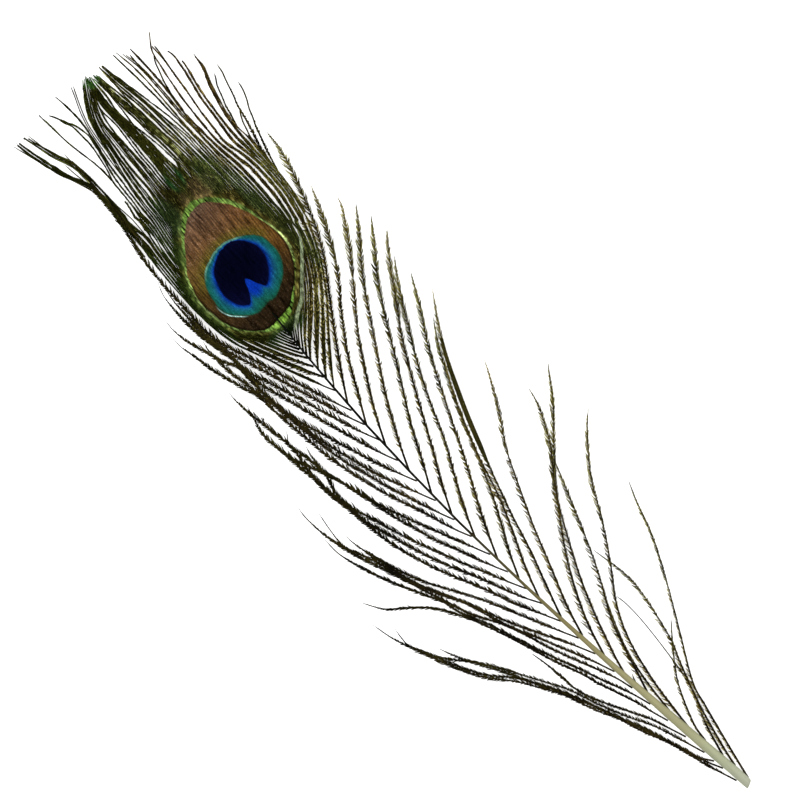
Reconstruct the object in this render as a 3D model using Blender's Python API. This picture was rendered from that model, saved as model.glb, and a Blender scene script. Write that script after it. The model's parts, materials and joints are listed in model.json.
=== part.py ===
"""Eye feather of a peacock's train, cut about 300 mm below its tip and lying face up.

The feather is one closed solid. A tapering shaft, arched over its length, carries a thin closed vane
around the eye, and the loose barbs grow from both sides as tapered locks that droop to the surface.
Points are in millimetres, measured from the middle of the quill's cut end: +X to the feather's
right, +Y along it towards the crown. The solid itself is in metres, centred on its own box.
"""

import math

import bmesh
import bpy
from mathutils import Vector

MM = 0.001

# Overall size and pose, in millimetres
BOX_CENTRE_X = -4.06
BOX_CENTRE_Y = 150.18
QUILL_END_Y = -1.1
CROWN_TIP_Y = 301.5
ARCH_HEIGHT = 6.0
ARCH_SHARPNESS = 1.5
DROOP_REACH = 34.0
DROOP_POWER = 2.2

# Shaft: distance along the feather, sideways place of its middle, width
SHAFT = (
    (-1.1, 0.5, 2.4), (1.0, 0.4, 3.0), (5, 0.0, 3.2), (15, -1.2, 3.1), (30, -2.85, 2.8), (45, -4.5, 2.2),
    (60, -6.0, 1.8), (75, -7.3, 1.35), (90, -8.5, 1.05), (105, -9.4, 0.85), (120, -10.25, 0.8),
    (142, -10.8, 0.8), (161, -10.9, 0.8), (178, -10.4, 0.8), (190, -9.9, 0.8), (203, -8.9, 0.8),
)
SHAFT_SIDES = 8
SHAFT_FLATNESS = 0.9
SHAFT_LEAST_HEIGHT = 1.1
SHAFT_STEP = 6.0

# Vane around the eye: distance along the feather, left edge, right edge
VANE_EDGES = (
    (172, -11.6, -10.0), (180, -14.6, -5.6), (190, -18.2, 1.8), (200, -21.8, 8.4), (209, -25.0, 14.4),
    (219, -26.4, 19.0), (230, -26.3, 22.2), (241, -25.8, 23.0), (251, -22.6, 21.2), (258, -18.2, 16.5),
    (264, -14.6, 12.5), (270, -9.0, 7.0),
)
VANE_THICKNESS = 0.8
VANE_ROWS = 26
VANE_COLUMNS = 8
VANE_EDGE_STEP = 2.0

# Locks: section, taper, how finely they are stepped, and how high on the shaft they leave it
LOCK_MOST_THICKNESS = 0.9
LOCK_THICKNESS_TO_WIDTH = 1.2
LOCK_STEP = 9.0
LOCK_TIP_WIDTH = 0.35
LOCK_ROOT_WIDTH = 0.6
LOCK_WIDEST_SHARE = 0.35
LOCK_TAPER_POWER = 1.5
LOCK_ROOT_LIFT = 0.35
LOCK_LIFT_SHARE = 0.25

SMOOTH_ANGLE = math.radians(50)

# Loose barbs of the right side, root first: (greatest width, path)
RIGHT_LOCKS = (
    (1.1, ((1.0, 1), (4.1, 13), (9.2, 34.5), (17, 49), (24, 62), (30.3, 75), (34.2, 86.5), (36.9, 93.5))),
    (1.2, ((0.8, 6.5), (2.6, 14), (6, 28), (10.2, 41), (13.3, 49.5), (16.2, 65), (16.4, 74), (14.3, 85.5))),
    (1.0, ((0.2, 11.5), (3.5, 22.5), (7.8, 34), (9.4, 45), (10.5, 58), (10.5, 66), (9.9, 70))),
    (0.8, ((-0.8, 18.5), (0.7, 25), (5.2, 36.5), (10.2, 44.3), (17.4, 53.4))),
    (1.1, ((-1.8, 25), (-0.7, 32), (0.6, 44), (3.7, 58), (8.3, 68.5), (14.5, 77.5), (22.5, 90), (29.3, 102.5),
           (38, 113.5), (43, 118.5))),
    (0.9, ((-2.9, 33), (-1, 46), (1.3, 57), (6.5, 71), (9.8, 78))),
    (1.1, ((-3.4, 42), (-0.3, 52.5), (3.5, 65), (9, 76), (14, 87), (19.8, 102), (24.5, 114))),
    (1.2, ((-4.8, 51.5), (-2.8, 58), (0.8, 69.5), (5.3, 81.5), (11, 93.5), (18, 106.5), (26.5, 118), (32, 129),
           (33.7, 135.8))),
    (1.2, ((-5.7, 59.5), (-2, 71), (3.2, 83), (9.5, 94), (18, 106), (28, 118), (36, 127), (43.5, 137.5))),
    (1.2, ((-6.5, 68.5), (-3.2, 79), (1.2, 91), (5.5, 103), (10.5, 115), (16, 127), (22, 136.5), (27.3, 146.5),
           (29.6, 151.5))),
    (1.9, ((-7.3, 77.3), (-3.6, 88), (0, 99), (3.3, 111), (7.8, 125), (13, 140), (17, 150), (21.5, 160),
           (26.5, 169), (32.7, 178.5))),
    (1.1, ((-8.2, 86.5), (-4.3, 97), (0, 107), (4.2, 118), (7.6, 127))),
    (1.1, ((-8.8, 95), (-4.8, 103.5), (0, 113), (5, 124), (9.4, 133))),
    (1.2, ((-9.4, 104), (-5, 114), (-1, 122.5), (4.2, 133), (9.3, 144.5), (14.8, 156.5), (20.3, 167.5),
           (25.5, 176), (31.4, 187))),
    (1.2, ((-10.1, 113.3), (-6, 122.5), (-0.8, 133), (3.8, 142), (8, 152.5), (13, 163.5), (19, 174.5),
           (25.5, 186), (31, 194))),
    (1.3, ((-10.5, 123.3), (-5.8, 133), (-1.3, 141.5), (3.2, 150.5), (8.5, 161), (15, 173), (22, 183.5),
           (29, 194), (35.2, 202))),
    (1.3, ((-10.7, 132.3), (-5.8, 141.5), (-0.8, 152), (4.3, 161), (10, 171), (15.5, 181), (22.5, 192.5),
           (29, 201), (34.2, 208))),
    (1.3, ((-10.9, 142.3), (-6, 153), (0, 164.5), (6, 174.5), (12.5, 185), (19.5, 196), (27, 205.5),
           (33.3, 214))),
    (1.3, ((-11, 152.7), (-5.7, 163.5), (-0.3, 173), (6.5, 184), (14.5, 194.5), (22, 204.5), (29, 215.5),
           (30.4, 219.3))),
    (1.3, ((-11.1, 161.3), (-6, 170.5), (-0.5, 181), (7, 192), (15.5, 203.5), (23, 218), (26.8, 227.5))),
    (1.4, ((-11, 169.8), (-5.5, 178.5), (2, 190), (10, 201.5), (15.5, 209), (20.4, 219), (25.3, 234),
           (27.5, 243), (28, 249))),
)

# Loose barbs of the left side, root first
LEFT_LOCKS = (
    (1.7, ((-1.1, 2.8), (-4.9, 12), (-7.4, 20.5), (-9.6, 27), (-12.5, 33.5), (-15.3, 41.5), (-18.8, 48.5),
           (-22.5, 58), (-26.5, 65), (-31, 72), (-36.3, 78), (-39.8, 83.5), (-43, 90), (-45.5, 96),
           (-47.7, 101.5), (-50, 107.5), (-51.6, 114.7))),
    (0.9, ((-1.0, 7.6), (-3.2, 11), (-5.6, 15.5))),
    (1.3, ((-2.6, 16), (-5, 22), (-8, 30.5), (-10.3, 35.5), (-13.2, 41), (-17, 49.5), (-20.4, 58.5),
           (-23.4, 64), (-26.9, 70), (-30.3, 76), (-34.2, 82), (-37.9, 87.2), (-39.6, 90.7), (-41.6, 95.3))),
    (0.7, ((-37.2, 86), (-40.8, 90), (-44.3, 94.8), (-46.2, 98.5))),
    (1.2, ((-3.4, 23.5), (-6.3, 30), (-8.5, 35.5), (-11.7, 41.5), (-14.4, 46.5), (-17.3, 53), (-18.8, 58),
           (-19.6, 64), (-20.4, 70), (-21.4, 75))),
    (1.7, ((-4.1, 32), (-6.5, 38), (-8.2, 43), (-10.3, 49), (-12.5, 56), (-14.6, 61.5), (-16.9, 66.5),
           (-19.1, 72.5), (-21.1, 78.5), (-23.3, 84.5), (-25.6, 90), (-28.2, 96), (-29.8, 100.5), (-32.5, 103.5),
           (-35.5, 107.2), (-40, 111.2), (-45.5, 115.5), (-49.7, 122.3))),
    (0.9, ((-4.6, 39), (-6.8, 44.5), (-9, 49.8), (-11.2, 54.5), (-13.2, 58.5))),
    (1.4, ((-5.3, 46), (-7.5, 52), (-10.9, 60), (-13.5, 66), (-16, 72), (-18, 78), (-20.2, 84), (-22.5, 89),
           (-25.2, 94), (-27.5, 98.5), (-29.3, 103), (-31.2, 107), (-33.2, 111.5), (-35.5, 116), (-38, 120.5),
           (-41, 127), (-42.8, 132), (-44.4, 138), (-44.6, 144))),
    (1.1, ((-5.9, 53.5), (-8.9, 60), (-11.6, 66), (-14.3, 72), (-17.3, 78.5))),
    (1.7, ((-6.6, 61.6), (-10.2, 68.4), (-13.6, 74.8), (-16.8, 80.7), (-20, 86.9), (-23, 94), (-25, 99),
           (-27.2, 103.3), (-29.6, 108), (-31.6, 112.5), (-33.6, 117), (-35.8, 122), (-38, 128), (-41, 134.5),
           (-42.6, 140.5), (-43.8, 146), (-44.3, 153), (-43.9, 157))),
    (0.6, ((-41.6, 137), (-41.4, 144), (-40.3, 151.5))),
    (1.5, ((-7.1, 68.7), (-10.7, 75.2), (-14.1, 82.4), (-17.3, 89.2), (-20.5, 96), (-23.8, 102), (-27.4, 108),
           (-30.8, 114), (-33.3, 119.5), (-35.2, 125), (-36.6, 130), (-38, 134), (-38.8, 138), (-38.8, 140.8))),
    (1.3, ((-7.6, 76.3), (-11.3, 83.1), (-14.7, 90.1), (-17.1, 96.1), (-20.2, 103.3), (-22.8, 108.8),
           (-25.8, 115.6), (-28.5, 123.5), (-30.5, 131), (-31.7, 138.5), (-32.7, 146.5), (-33.5, 151),
           (-34, 156), (-34.1, 160), (-34.8, 164.5), (-35.3, 169), (-35.7, 174), (-36.4, 180), (-36, 183.5),
           (-34.9, 187.5), (-33.8, 191))),
    (1.1, ((-8.1, 84.3), (-11.7, 90.1), (-14.3, 95.9), (-17.7, 103.9), (-20.5, 109.7), (-23.9, 117.3),
           (-27, 126), (-29.4, 133.5), (-31.5, 140))),
    (1.1, ((-8.7, 91), (-12.2, 97.6), (-15.1, 103.9), (-17.9, 109.7), (-20.5, 115.8), (-23.6, 123),
           (-26.3, 130), (-28.8, 137.5), (-31.2, 144.5), (-32.4, 150), (-31.8, 154), (-30.6, 159),
           (-30.2, 163), (-29.9, 166), (-29, 169.3))),
    (1.6, ((-9.3, 98.6), (-13.2, 106.3), (-16.6, 114.6), (-19.4, 121), (-21.8, 128.5), (-24.2, 136),
           (-26, 143.5), (-27.8, 151), (-30.2, 158), (-32.3, 163), (-33.9, 167.5), (-33.2, 171),
           (-33.2, 176), (-33.9, 181), (-34.6, 185), (-35.3, 190), (-35.5, 195), (-35.2, 198.3))),
    (1.1, ((-9.7, 106.3), (-12.6, 112.2), (-15.1, 117.8), (-17.4, 123), (-20, 129), (-22.5, 135),
           (-25.4, 142))),
    (1.3, ((-10.1, 114.2), (-13, 120.1), (-15.5, 127.5), (-18.1, 134.5), (-20.8, 141.5), (-22.9, 148.5),
           (-24.5, 154.5), (-26, 161), (-27, 168.5), (-27.6, 176), (-28, 184), (-28.9, 189), (-30.2, 193),
           (-31.6, 197), (-33.5, 203), (-34.6, 207), (-35.3, 211), (-35.9, 214), (-36.7, 218), (-36.8, 222))),
    (1.4, ((-10.5, 121.6), (-13.7, 128.6), (-16.2, 135.4), (-18.8, 142.2), (-20.7, 148.8), (-22.6, 154.5),
           (-24.2, 161), (-25.5, 168.5), (-26.7, 174))),
    (1.2, ((-10.7, 129.8), (-13.9, 136.5), (-16.8, 143.3), (-19.4, 149.9), (-21.5, 157), (-23.6, 164))),
    (1.1, ((-29.2, 190), (-29.5, 195), (-30.3, 199), (-31, 203), (-31.3, 208), (-32.3, 212), (-33.6, 216),
           (-34.6, 220), (-34.9, 224), (-34.6, 228))),
    (1.3, ((-10.9, 138.2), (-14.1, 144.8), (-17, 151.8), (-19.1, 158), (-21.3, 164), (-23.2, 170),
           (-25.4, 175.5), (-27, 182), (-27.5, 189), (-27.7, 196), (-27.4, 203), (-27.9, 209), (-29, 213),
           (-30, 218), (-30.4, 224), (-30.2, 231), (-29.5, 234.5), (-28.3, 238))),
    (1.2, ((-10.9, 146.8), (-13.4, 152), (-16.2, 160), (-18.8, 168), (-21.3, 176), (-23, 182), (-25, 188),
           (-27.3, 194))),
    (1.2, ((-10.7, 155.2), (-13.7, 161.5), (-16.6, 169.5), (-19.3, 177.5), (-22.2, 186), (-24.4, 192),
           (-27.2, 200))),
    (1.3, ((-10.9, 161.8), (-13.7, 168), (-15.8, 174), (-17.8, 180), (-19.9, 186), (-21.8, 192), (-24.6, 200),
           (-27.4, 207.5))),
    (1.3, ((-10.9, 167.7), (-13.7, 174), (-16.6, 182), (-19, 188.5), (-21.7, 196.5), (-24.6, 204.5),
           (-26.9, 211), (-27.9, 218), (-27.8, 228), (-27.6, 238), (-26.6, 246), (-25.2, 253), (-24.2, 260),
           (-23.9, 266), (-24.1, 271), (-25.5, 277), (-28, 283), (-30, 291), (-31.6, 300))),
)

# Crown: barbs that leave the vane's front edge
CROWN_LOCKS = (
    (2.2, ((-24.8, 242), (-23.8, 252), (-22.9, 260), (-22.6, 268), (-22.3, 277), (-23.5, 284),
           (-25.8, 291.5), (-28.5, 297), (-29.3, 299))),
    (0.6, ((-20.6, 247), (-19.3, 254), (-18, 262), (-17.4, 272), (-18.3, 281), (-19.8, 291), (-20.3, 301.5))),
    (0.8, ((-18.4, 251), (-17.2, 259), (-16, 269), (-14.9, 278), (-14.8, 287), (-15.8, 293.5), (-19.3, 300.2))),
    (0.7, ((-16.4, 258), (-15, 270), (-13.5, 281), (-12.3, 289), (-12, 294), (-12.7, 301.5))),
    (0.7, ((-13.5, 280), (-12.2, 285), (-10.5, 292), (-6.8, 301.2))),
    (1.7, ((-13.2, 258), (-12.6, 270), (-11.9, 279), (-10.6, 286.5), (-8.6, 291), (-5.8, 296), (-2.6, 299.6))),
    (1.8, ((-10.9, 260), (-10.3, 271), (-9.3, 281), (-7.6, 288), (-5, 294), (-2.2, 299))),
    (1.7, ((-8.4, 262), (-7.8, 272), (-7.2, 281), (-5.6, 288.5), (-3.6, 295), (-1.8, 299.5))),
    (1.8, ((-5.7, 262), (-5.1, 272), (-4.6, 281), (-3.7, 289), (-2.4, 296), (-1.3, 300.2))),
    (2.1, ((-3.1, 262), (-3, 272), (-3.1, 281), (-2.3, 288), (-1.5, 294), (-0.7, 299.5))),
    (1.6, ((-0.4, 262), (-0.7, 271), (-0.7, 279), (-1.8, 285), (-1.4, 291), (0, 298.5))),
    (1.7, ((2, 262), (1.9, 271), (1.3, 279), (0.4, 286), (0.4, 292), (0.9, 298.5))),
    (1.7, ((4.4, 262), (4.2, 272), (3.6, 281), (2.6, 289), (1.6, 296), (0.9, 299))),
    (1.7, ((6.8, 261), (6.8, 272), (6.1, 281), (5, 290), (3.4, 299.6))),
    (1.6, ((9.2, 259), (9.1, 270), (8.2, 280), (6.3, 290), (4.4, 299.7))),
    (0.7, ((10.8, 259), (10.3, 271), (9.9, 281), (9.6, 290), (9.5, 299.5))),
    (0.8, ((12, 258), (11.9, 270), (12.2, 284), (11.7, 298))),
    (0.8, ((13.6, 257), (13.8, 268), (14, 281), (14, 289), (14.5, 297))),
    (0.8, ((15, 254), (15.4, 268), (17.4, 284), (18.5, 290))),
    (0.8, ((16.8, 252), (17.4, 268), (19.4, 284), (20.6, 292), (22.8, 296.8))),
    (0.8, ((19.2, 247), (20.2, 262), (21.6, 271), (23.5, 283), (22, 290))),
    (0.8, ((20.8, 243), (22.4, 262), (25.5, 272.5), (27.8, 283))),
    (0.8, ((21.9, 238), (24, 252), (27.7, 263), (31, 275))),
    (0.7, ((22.9, 239), (25, 247), (27.5, 255), (30.3, 261), (32.2, 267.5))),
)

FEATHER_COLOUR = (0.035, 0.030, 0.018, 1.0)
FEATHER_ROUGHNESS = 0.55


def clear_scene():
    """Remove every object, so that the script always starts from nothing."""
    for existing in list(bpy.data.objects):
        bpy.data.objects.remove(existing, do_unlink=True)


def feather_material():
    """Plain dark brown with the dull gloss of keratin."""
    material = bpy.data.materials.new("feather")
    material.use_nodes = True
    shader = material.node_tree.nodes["Principled BSDF"]
    shader.inputs["Base Color"].default_value = FEATHER_COLOUR
    shader.inputs["Roughness"].default_value = FEATHER_ROUGHNESS
    shader.inputs["Metallic"].default_value = 0.0
    return material


def blend_rows(rows, y):
    """Values of a table whose first column is the distance y, joined by straight lines."""
    if y <= rows[0][0]:
        return rows[0][1:]
    for near, far in zip(rows, rows[1:]):
        if y <= far[0]:
            share = (y - near[0]) / (far[0] - near[0])
            return tuple(a + (b - a) * share for a, b in zip(near[1:], far[1:]))
    return rows[-1][1:]


def arch(y):
    """Height of the feather's underside above the surface: flat at the quill and the crown's tips."""
    share = (y - QUILL_END_Y) / (CROWN_TIP_Y - QUILL_END_Y)
    share = min(max(share, 0.0), 1.0)
    return ARCH_HEIGHT * math.sin(math.pi * share) ** ARCH_SHARPNESS


def underside(x, y):
    """Height of the feather's underside at any place: highest at the shaft, and down on the surface
    where the barbs reach far enough out."""
    reach = abs(x - blend_rows(SHAFT, y)[0]) / DROOP_REACH
    return arch(y) * max(1.0 - reach**DROOP_POWER, 0.0)


def shaft_height(y):
    """Height of the shaft's section."""
    return max(blend_rows(SHAFT, y)[1] * SHAFT_FLATNESS, SHAFT_LEAST_HEIGHT)


def smooth_path(points, step):
    """Points about a step apart on a Catmull-Rom curve through the given ones."""
    corners = [Vector(point) for point in points]
    corners = [2 * corners[0] - corners[1], *corners, 2 * corners[-1] - corners[-2]]
    path = []
    for before, start, end, after in zip(corners, corners[1:], corners[2:], corners[3:]):
        count = max(1, round((end - start).length / step))
        for i in range(count):
            t = i / count
            path.append(
                0.5 * (2 * start + (end - before) * t + (2 * before - 5 * start + 4 * end - after) * t**2
                       + (3 * start - before - 3 * end + after) * t**3)
            )
    path.append(corners[-2])
    return path


def sideways(path, i):
    """Unit vector to the right of a flat path at one of its points."""
    along = path[min(i + 1, len(path) - 1)] - path[max(i - 1, 0)]
    return Vector((along.y, -along.x)).normalized()


def place(x, y, z):
    """Millimetres from the quill's cut end to metres in the feather's own box."""
    return Vector(((x - BOX_CENTRE_X) * MM, (y - BOX_CENTRE_Y) * MM, z * MM))


def bridge(mesh, rings):
    """Skin a list of equal closed rings of vertices, and close both ends."""
    for near, far in zip(rings, rings[1:]):
        for i in range(len(near)):
            j = (i + 1) % len(near)
            mesh.faces.new((near[i], near[j], far[j], far[i]))
    mesh.faces.new(reversed(rings[0]))
    mesh.faces.new(rings[-1])


def new_object(name, mesh):
    """Turn a bmesh into a linked object whose faces point out and whose round parts are shaded smooth."""
    bmesh.ops.recalc_face_normals(mesh, faces=mesh.faces)
    data = bpy.data.meshes.new(name)
    mesh.to_mesh(data)
    mesh.free()
    data.shade_smooth()
    data.set_sharp_from_angle(angle=SMOOTH_ANGLE)
    made = bpy.data.objects.new(name, data)
    bpy.context.scene.collection.objects.link(made)
    return made


def shaft():
    """Tapering quill and shaft with an oval section, its underside on the arch."""
    mesh = bmesh.new()
    path = smooth_path([(x, y) for y, x, _ in SHAFT], SHAFT_STEP)
    flat = math.cos(math.pi / SHAFT_SIDES)
    rings = []
    for i, middle in enumerate(path):
        half = blend_rows(SHAFT, middle.y)[1] / 2
        rise = shaft_height(middle.y) / 2
        aside = sideways(path, i)
        ring = []
        for side in range(SHAFT_SIDES):
            turn = 2 * math.pi * (side + 0.5) / SHAFT_SIDES
            spot = middle + aside * (half * math.cos(turn))
            height = arch(middle.y) + rise * (flat + math.sin(turn))
            ring.append(mesh.verts.new(place(spot.x, spot.y, height)))
        rings.append(ring)
    bridge(mesh, rings)
    return new_object("feather", mesh)


def vane():
    """Thin closed plate between the vane's two edges."""
    mesh = bmesh.new()
    first, last = VANE_EDGES[0][0], VANE_EDGES[-1][0]
    left = smooth_path([(y, x) for y, x, _ in VANE_EDGES], VANE_EDGE_STEP)
    right = smooth_path([(y, x) for y, _, x in VANE_EDGES], VANE_EDGE_STEP)
    rings = []
    for row in range(VANE_ROWS + 1):
        y = first + (last - first) * row / VANE_ROWS
        low = blend_rows(left, y)[0]
        high = blend_rows(right, y)[0]
        across = [low + (high - low) * column / VANE_COLUMNS for column in range(VANE_COLUMNS + 1)]
        under = [mesh.verts.new(place(x, y, underside(x, y))) for x in across]
        over = [mesh.verts.new(place(x, y, underside(x, y) + VANE_THICKNESS)) for x in reversed(across)]
        rings.append(under + over)
    bridge(mesh, rings)
    return new_object("vane", mesh)


def lock_width(widest, share):
    """Narrow at the root, widest past a third of the way, and drawn out to a fine tip."""
    if share < LOCK_WIDEST_SHARE:
        return LOCK_ROOT_WIDTH + (widest - LOCK_ROOT_WIDTH) * share / LOCK_WIDEST_SHARE
    fade = (share - LOCK_WIDEST_SHARE) / (1 - LOCK_WIDEST_SHARE)
    return widest + (LOCK_TIP_WIDTH - widest) * fade**LOCK_TAPER_POWER


def lock(name, widest, points):
    """Tapered tongue of barbs with a diamond section, which leaves the shaft part of the way up it and
    then follows the underside's height."""
    mesh = bmesh.new()
    path = smooth_path(points, LOCK_STEP)
    lift = LOCK_ROOT_LIFT * shaft_height(path[0].y)
    rings = []
    for i, middle in enumerate(path):
        share = i / (len(path) - 1)
        width = lock_width(widest, share)
        thickness = min(LOCK_MOST_THICKNESS, width * LOCK_THICKNESS_TO_WIDTH)
        low = underside(middle.x, middle.y) + lift * max(1 - share / LOCK_LIFT_SHARE, 0.0) ** 2
        aside = sideways(path, i) * (width / 2)
        left, right = middle - aside, middle + aside
        rings.append([
            mesh.verts.new(place(left.x, left.y, low + thickness / 2)),
            mesh.verts.new(place(middle.x, middle.y, low)),
            mesh.verts.new(place(right.x, right.y, low + thickness / 2)),
            mesh.verts.new(place(middle.x, middle.y, low + thickness)),
        ])
    bridge(mesh, rings)
    return new_object(name, mesh)


def join_to(base, pieces):
    """Fuse the pieces into the base as one solid."""
    helpers = bpy.data.collections.new("locks")
    bpy.context.scene.collection.children.link(helpers)
    helpers.hide_render = True
    for piece in pieces:
        piece.hide_render = True
        piece.display_type = "WIRE"
        bpy.context.scene.collection.objects.unlink(piece)
        helpers.objects.link(piece)
    union = base.modifiers.new("locks", "BOOLEAN")
    union.operation = "UNION"
    union.operand_type = "COLLECTION"
    union.collection = helpers
    union.solver = "EXACT"
    return base


def main():
    clear_scene()
    feather = shaft()
    feather.data.materials.append(feather_material())
    pieces = [vane()]
    for side, locks in (("right", RIGHT_LOCKS), ("left", LEFT_LOCKS), ("crown", CROWN_LOCKS)):
        for number, (widest, points) in enumerate(locks, 1):
            pieces.append(lock(f"{side}_lock_{number:02d}", widest, points))
    join_to(feather, pieces)


main()
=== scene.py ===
"""Eye feather of a peacock's train, lying face up on a pale floor, built barb by barb.

The shaft, the loose barbs of both sides, the closed vane of the eye and the strands of the crown are
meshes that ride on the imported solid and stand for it. Lengths and places are in millimetres from the
middle of the quill's cut end: +X to the feather's right, +Y along it towards the crown.
"""

import json
import math
from types import SimpleNamespace

import bpy
import numpy as np
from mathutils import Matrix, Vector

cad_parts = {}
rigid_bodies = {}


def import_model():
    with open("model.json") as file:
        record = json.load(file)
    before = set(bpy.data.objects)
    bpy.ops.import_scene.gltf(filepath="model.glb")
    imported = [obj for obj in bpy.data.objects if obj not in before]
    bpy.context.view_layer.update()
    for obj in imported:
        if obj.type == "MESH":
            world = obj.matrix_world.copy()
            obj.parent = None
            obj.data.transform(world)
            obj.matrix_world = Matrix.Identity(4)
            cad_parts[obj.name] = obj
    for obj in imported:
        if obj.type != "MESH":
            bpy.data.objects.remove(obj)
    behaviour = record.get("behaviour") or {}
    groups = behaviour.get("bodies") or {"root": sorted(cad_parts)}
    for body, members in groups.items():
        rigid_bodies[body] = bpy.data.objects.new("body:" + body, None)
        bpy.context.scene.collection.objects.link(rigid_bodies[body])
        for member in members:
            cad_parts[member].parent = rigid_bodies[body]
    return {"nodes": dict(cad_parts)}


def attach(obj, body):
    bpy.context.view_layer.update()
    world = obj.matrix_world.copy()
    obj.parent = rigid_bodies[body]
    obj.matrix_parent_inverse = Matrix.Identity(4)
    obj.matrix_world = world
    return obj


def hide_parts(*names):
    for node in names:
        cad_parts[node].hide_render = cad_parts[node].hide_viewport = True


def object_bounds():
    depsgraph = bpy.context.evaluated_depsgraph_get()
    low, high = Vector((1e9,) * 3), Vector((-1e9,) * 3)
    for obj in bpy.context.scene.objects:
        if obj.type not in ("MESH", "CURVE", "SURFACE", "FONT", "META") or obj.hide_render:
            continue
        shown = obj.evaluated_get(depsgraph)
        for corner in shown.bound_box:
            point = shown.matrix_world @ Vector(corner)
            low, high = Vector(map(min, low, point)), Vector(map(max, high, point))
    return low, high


bl_info = {
    "name": "Peacock Eye Feather",
    "version": (1, 0, 0),
    "blender": (4, 5, 0),
    "location": "3D View > Sidebar > Feather",
    "description": "Builds a peacock's eye feather barb by barb, with its floor, light and camera",
    "category": "Add Mesh",
}

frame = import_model()
CAD_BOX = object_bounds()

MM = 0.001
BODY = "root"
NODE = "feather"
STARTUP_OBJECTS = ("Cube", "Light", "Camera")

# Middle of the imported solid, which lies at the frame's origin
BOX_CENTRE = np.array([-4.06, 150.18, 0.0])
# Pose of the feather: a low arch along the shaft, from which the barbs droop to the floor
QUILL_END_Y = -1.1
CROWN_TIP_Y = 301.5
ARCH_HEIGHT = 6.0
ARCH_SHARPNESS = 1.5
DROOP_REACH = 34.0
DROOP_POWER = 2.2
LEAST_HEIGHT = 0.06

# Shaft: distance along the feather, sideways place of its middle, width
SHAFT = np.array((
    (-1.1, 0.5, 2.4), (1, 0.4, 3.0), (5, 0, 3.2), (15, -1.2, 3.1), (30, -2.85, 2.8), (45, -4.5, 2.2),
    (60, -6, 1.8), (75, -7.3, 1.35), (90, -8.5, 1.05), (105, -9.4, 0.85), (120, -10.25, 0.8),
    (142, -10.8, 0.8), (161, -10.9, 0.8), (178, -10.4, 0.75), (190, -9.9, 0.65), (198, -9.3, 0.6),
    (204, -8.9, 0.55), (206.5, -8.7, 0.3),
))
SHAFT_SIDES = 20
SHAFT_STEP = 1.5
SHAFT_FIT = 0.98
SHAFT_FLATNESS = 0.9
SHAFT_LEAST_HEIGHT = 1.1
# Cut end: how slanted it is, how deep, and how far up the shaft the slant fades out
CUT_SLANT = 0.46
CUT_DEPTH = 0.6
CUT_LENGTH = 6.0
# Hollow of the cut end, from its bottom out to its rim: depth, share of the outer ring's size
HOLLOW = ((2.4, 0.35), (2.2, 0.5), (0.25, 0.62), (0.0, 0.72))
# Groove under the shaft: half its width as an angle, share of the height, where it begins and is full
GROOVE_ANGLE = 0.5
GROOVE_DEPTH = 0.16
GROOVE_START = (8, 24)

# Points between two given ones of a curve, and steps along a loose barb, a crown strand and an eye barb
CURVE_PARTS = 10
BARB_STEP = 1.2
STRAND_STEP = 1.0
EYE_STEPS = 96
# What each point tells the shaders: its lightness, how near it is to a blade's edge, how far the markings
# are shifted along the feather there, and how green it is
VALUES = ("tone", "edge", "shift", "green")

# Faces of a spike that bends once, of a straight one, and how light their points are
SPIKE_FACES = np.array([
    (0, 1, 2), (0, 3, 4), (0, 4, 1), (1, 4, 5), (1, 5, 2), (2, 5, 3), (2, 3, 0), (3, 6, 4), (4, 6, 5), (5, 6, 3),
])
# Both kinds are darker at the root and lighter at the tip: partly their own colour, partly painted shade and
# highlight
SPIKE_TONES = (0.4, 0.4, 0.4, 0.95, 0.95, 0.95, 1.0)
NEEDLE_FACES = np.array([(0, 1, 2), (0, 3, 1), (1, 3, 2), (2, 3, 0)])
NEEDLE_TONES = (0.6, 0.6, 0.6, 1.0)
SPIKE_ROOT_WIDTH = 0.75
SPIKE_HEIGHT = 0.7
SPIKE_EDGE = 0.3

# Tufts of barbules on loose barbs: length along the barb, reach and lift of one against the next
TUFT_LENGTHS = (0.5, 1.3)
TUFT_REACHES = (0.72, 1.15)
TUFT_LIFTS = (-0.12, 0.22)
# Angle in degrees between barbule and barb, how much tufts differ in it, and where barbules lie close
LEAN = 36
LEAN_STRAY = 11
CLOSE_LEAN = 22
SHORTEST_BARBULE = 0.25
# The same for the barbules that cling to the eye's barbs, and how far apart those are
CLING_LENGTHS = (0.6, 1.5)
CLING_REACHES = (0.6, 1.15)
CLING_LIFTS = (-0.05, 0.25)
CLING_GAP = 0.24

# How light the barbules are: on the right by distance from the middle, low down and on the left by
# distance along the feather, in the eye by distance from the middle
RIGHT_LIGHT = ((2, 1.4), (9, 1.1), (18, 1.15), (24, 1.4), (32, 1.8))
LOW_LIGHT = ((0, 1.4), (40, 1.35), (60, 1.15), (80, 0.9))
LEFT_LIGHT = ((0, 0.4), (50, 0.45), (80, 0.3), (150, 0.28), (190, 0.45))
EYE_LIGHT = ((-20, 0.6), (-10, 0.7), (0, 0.8), (6, 1.0), (12, 0.95), (20, 0.85))
# How far barbules come out from the eye's barbs, by distance along the feather
EYE_FUZZ = ((185, 0.7), (215, 0.7), (245, 0.65), (260, 0.5), (272, 0.4), (285, 0.26), (296, 0.16))

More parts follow.
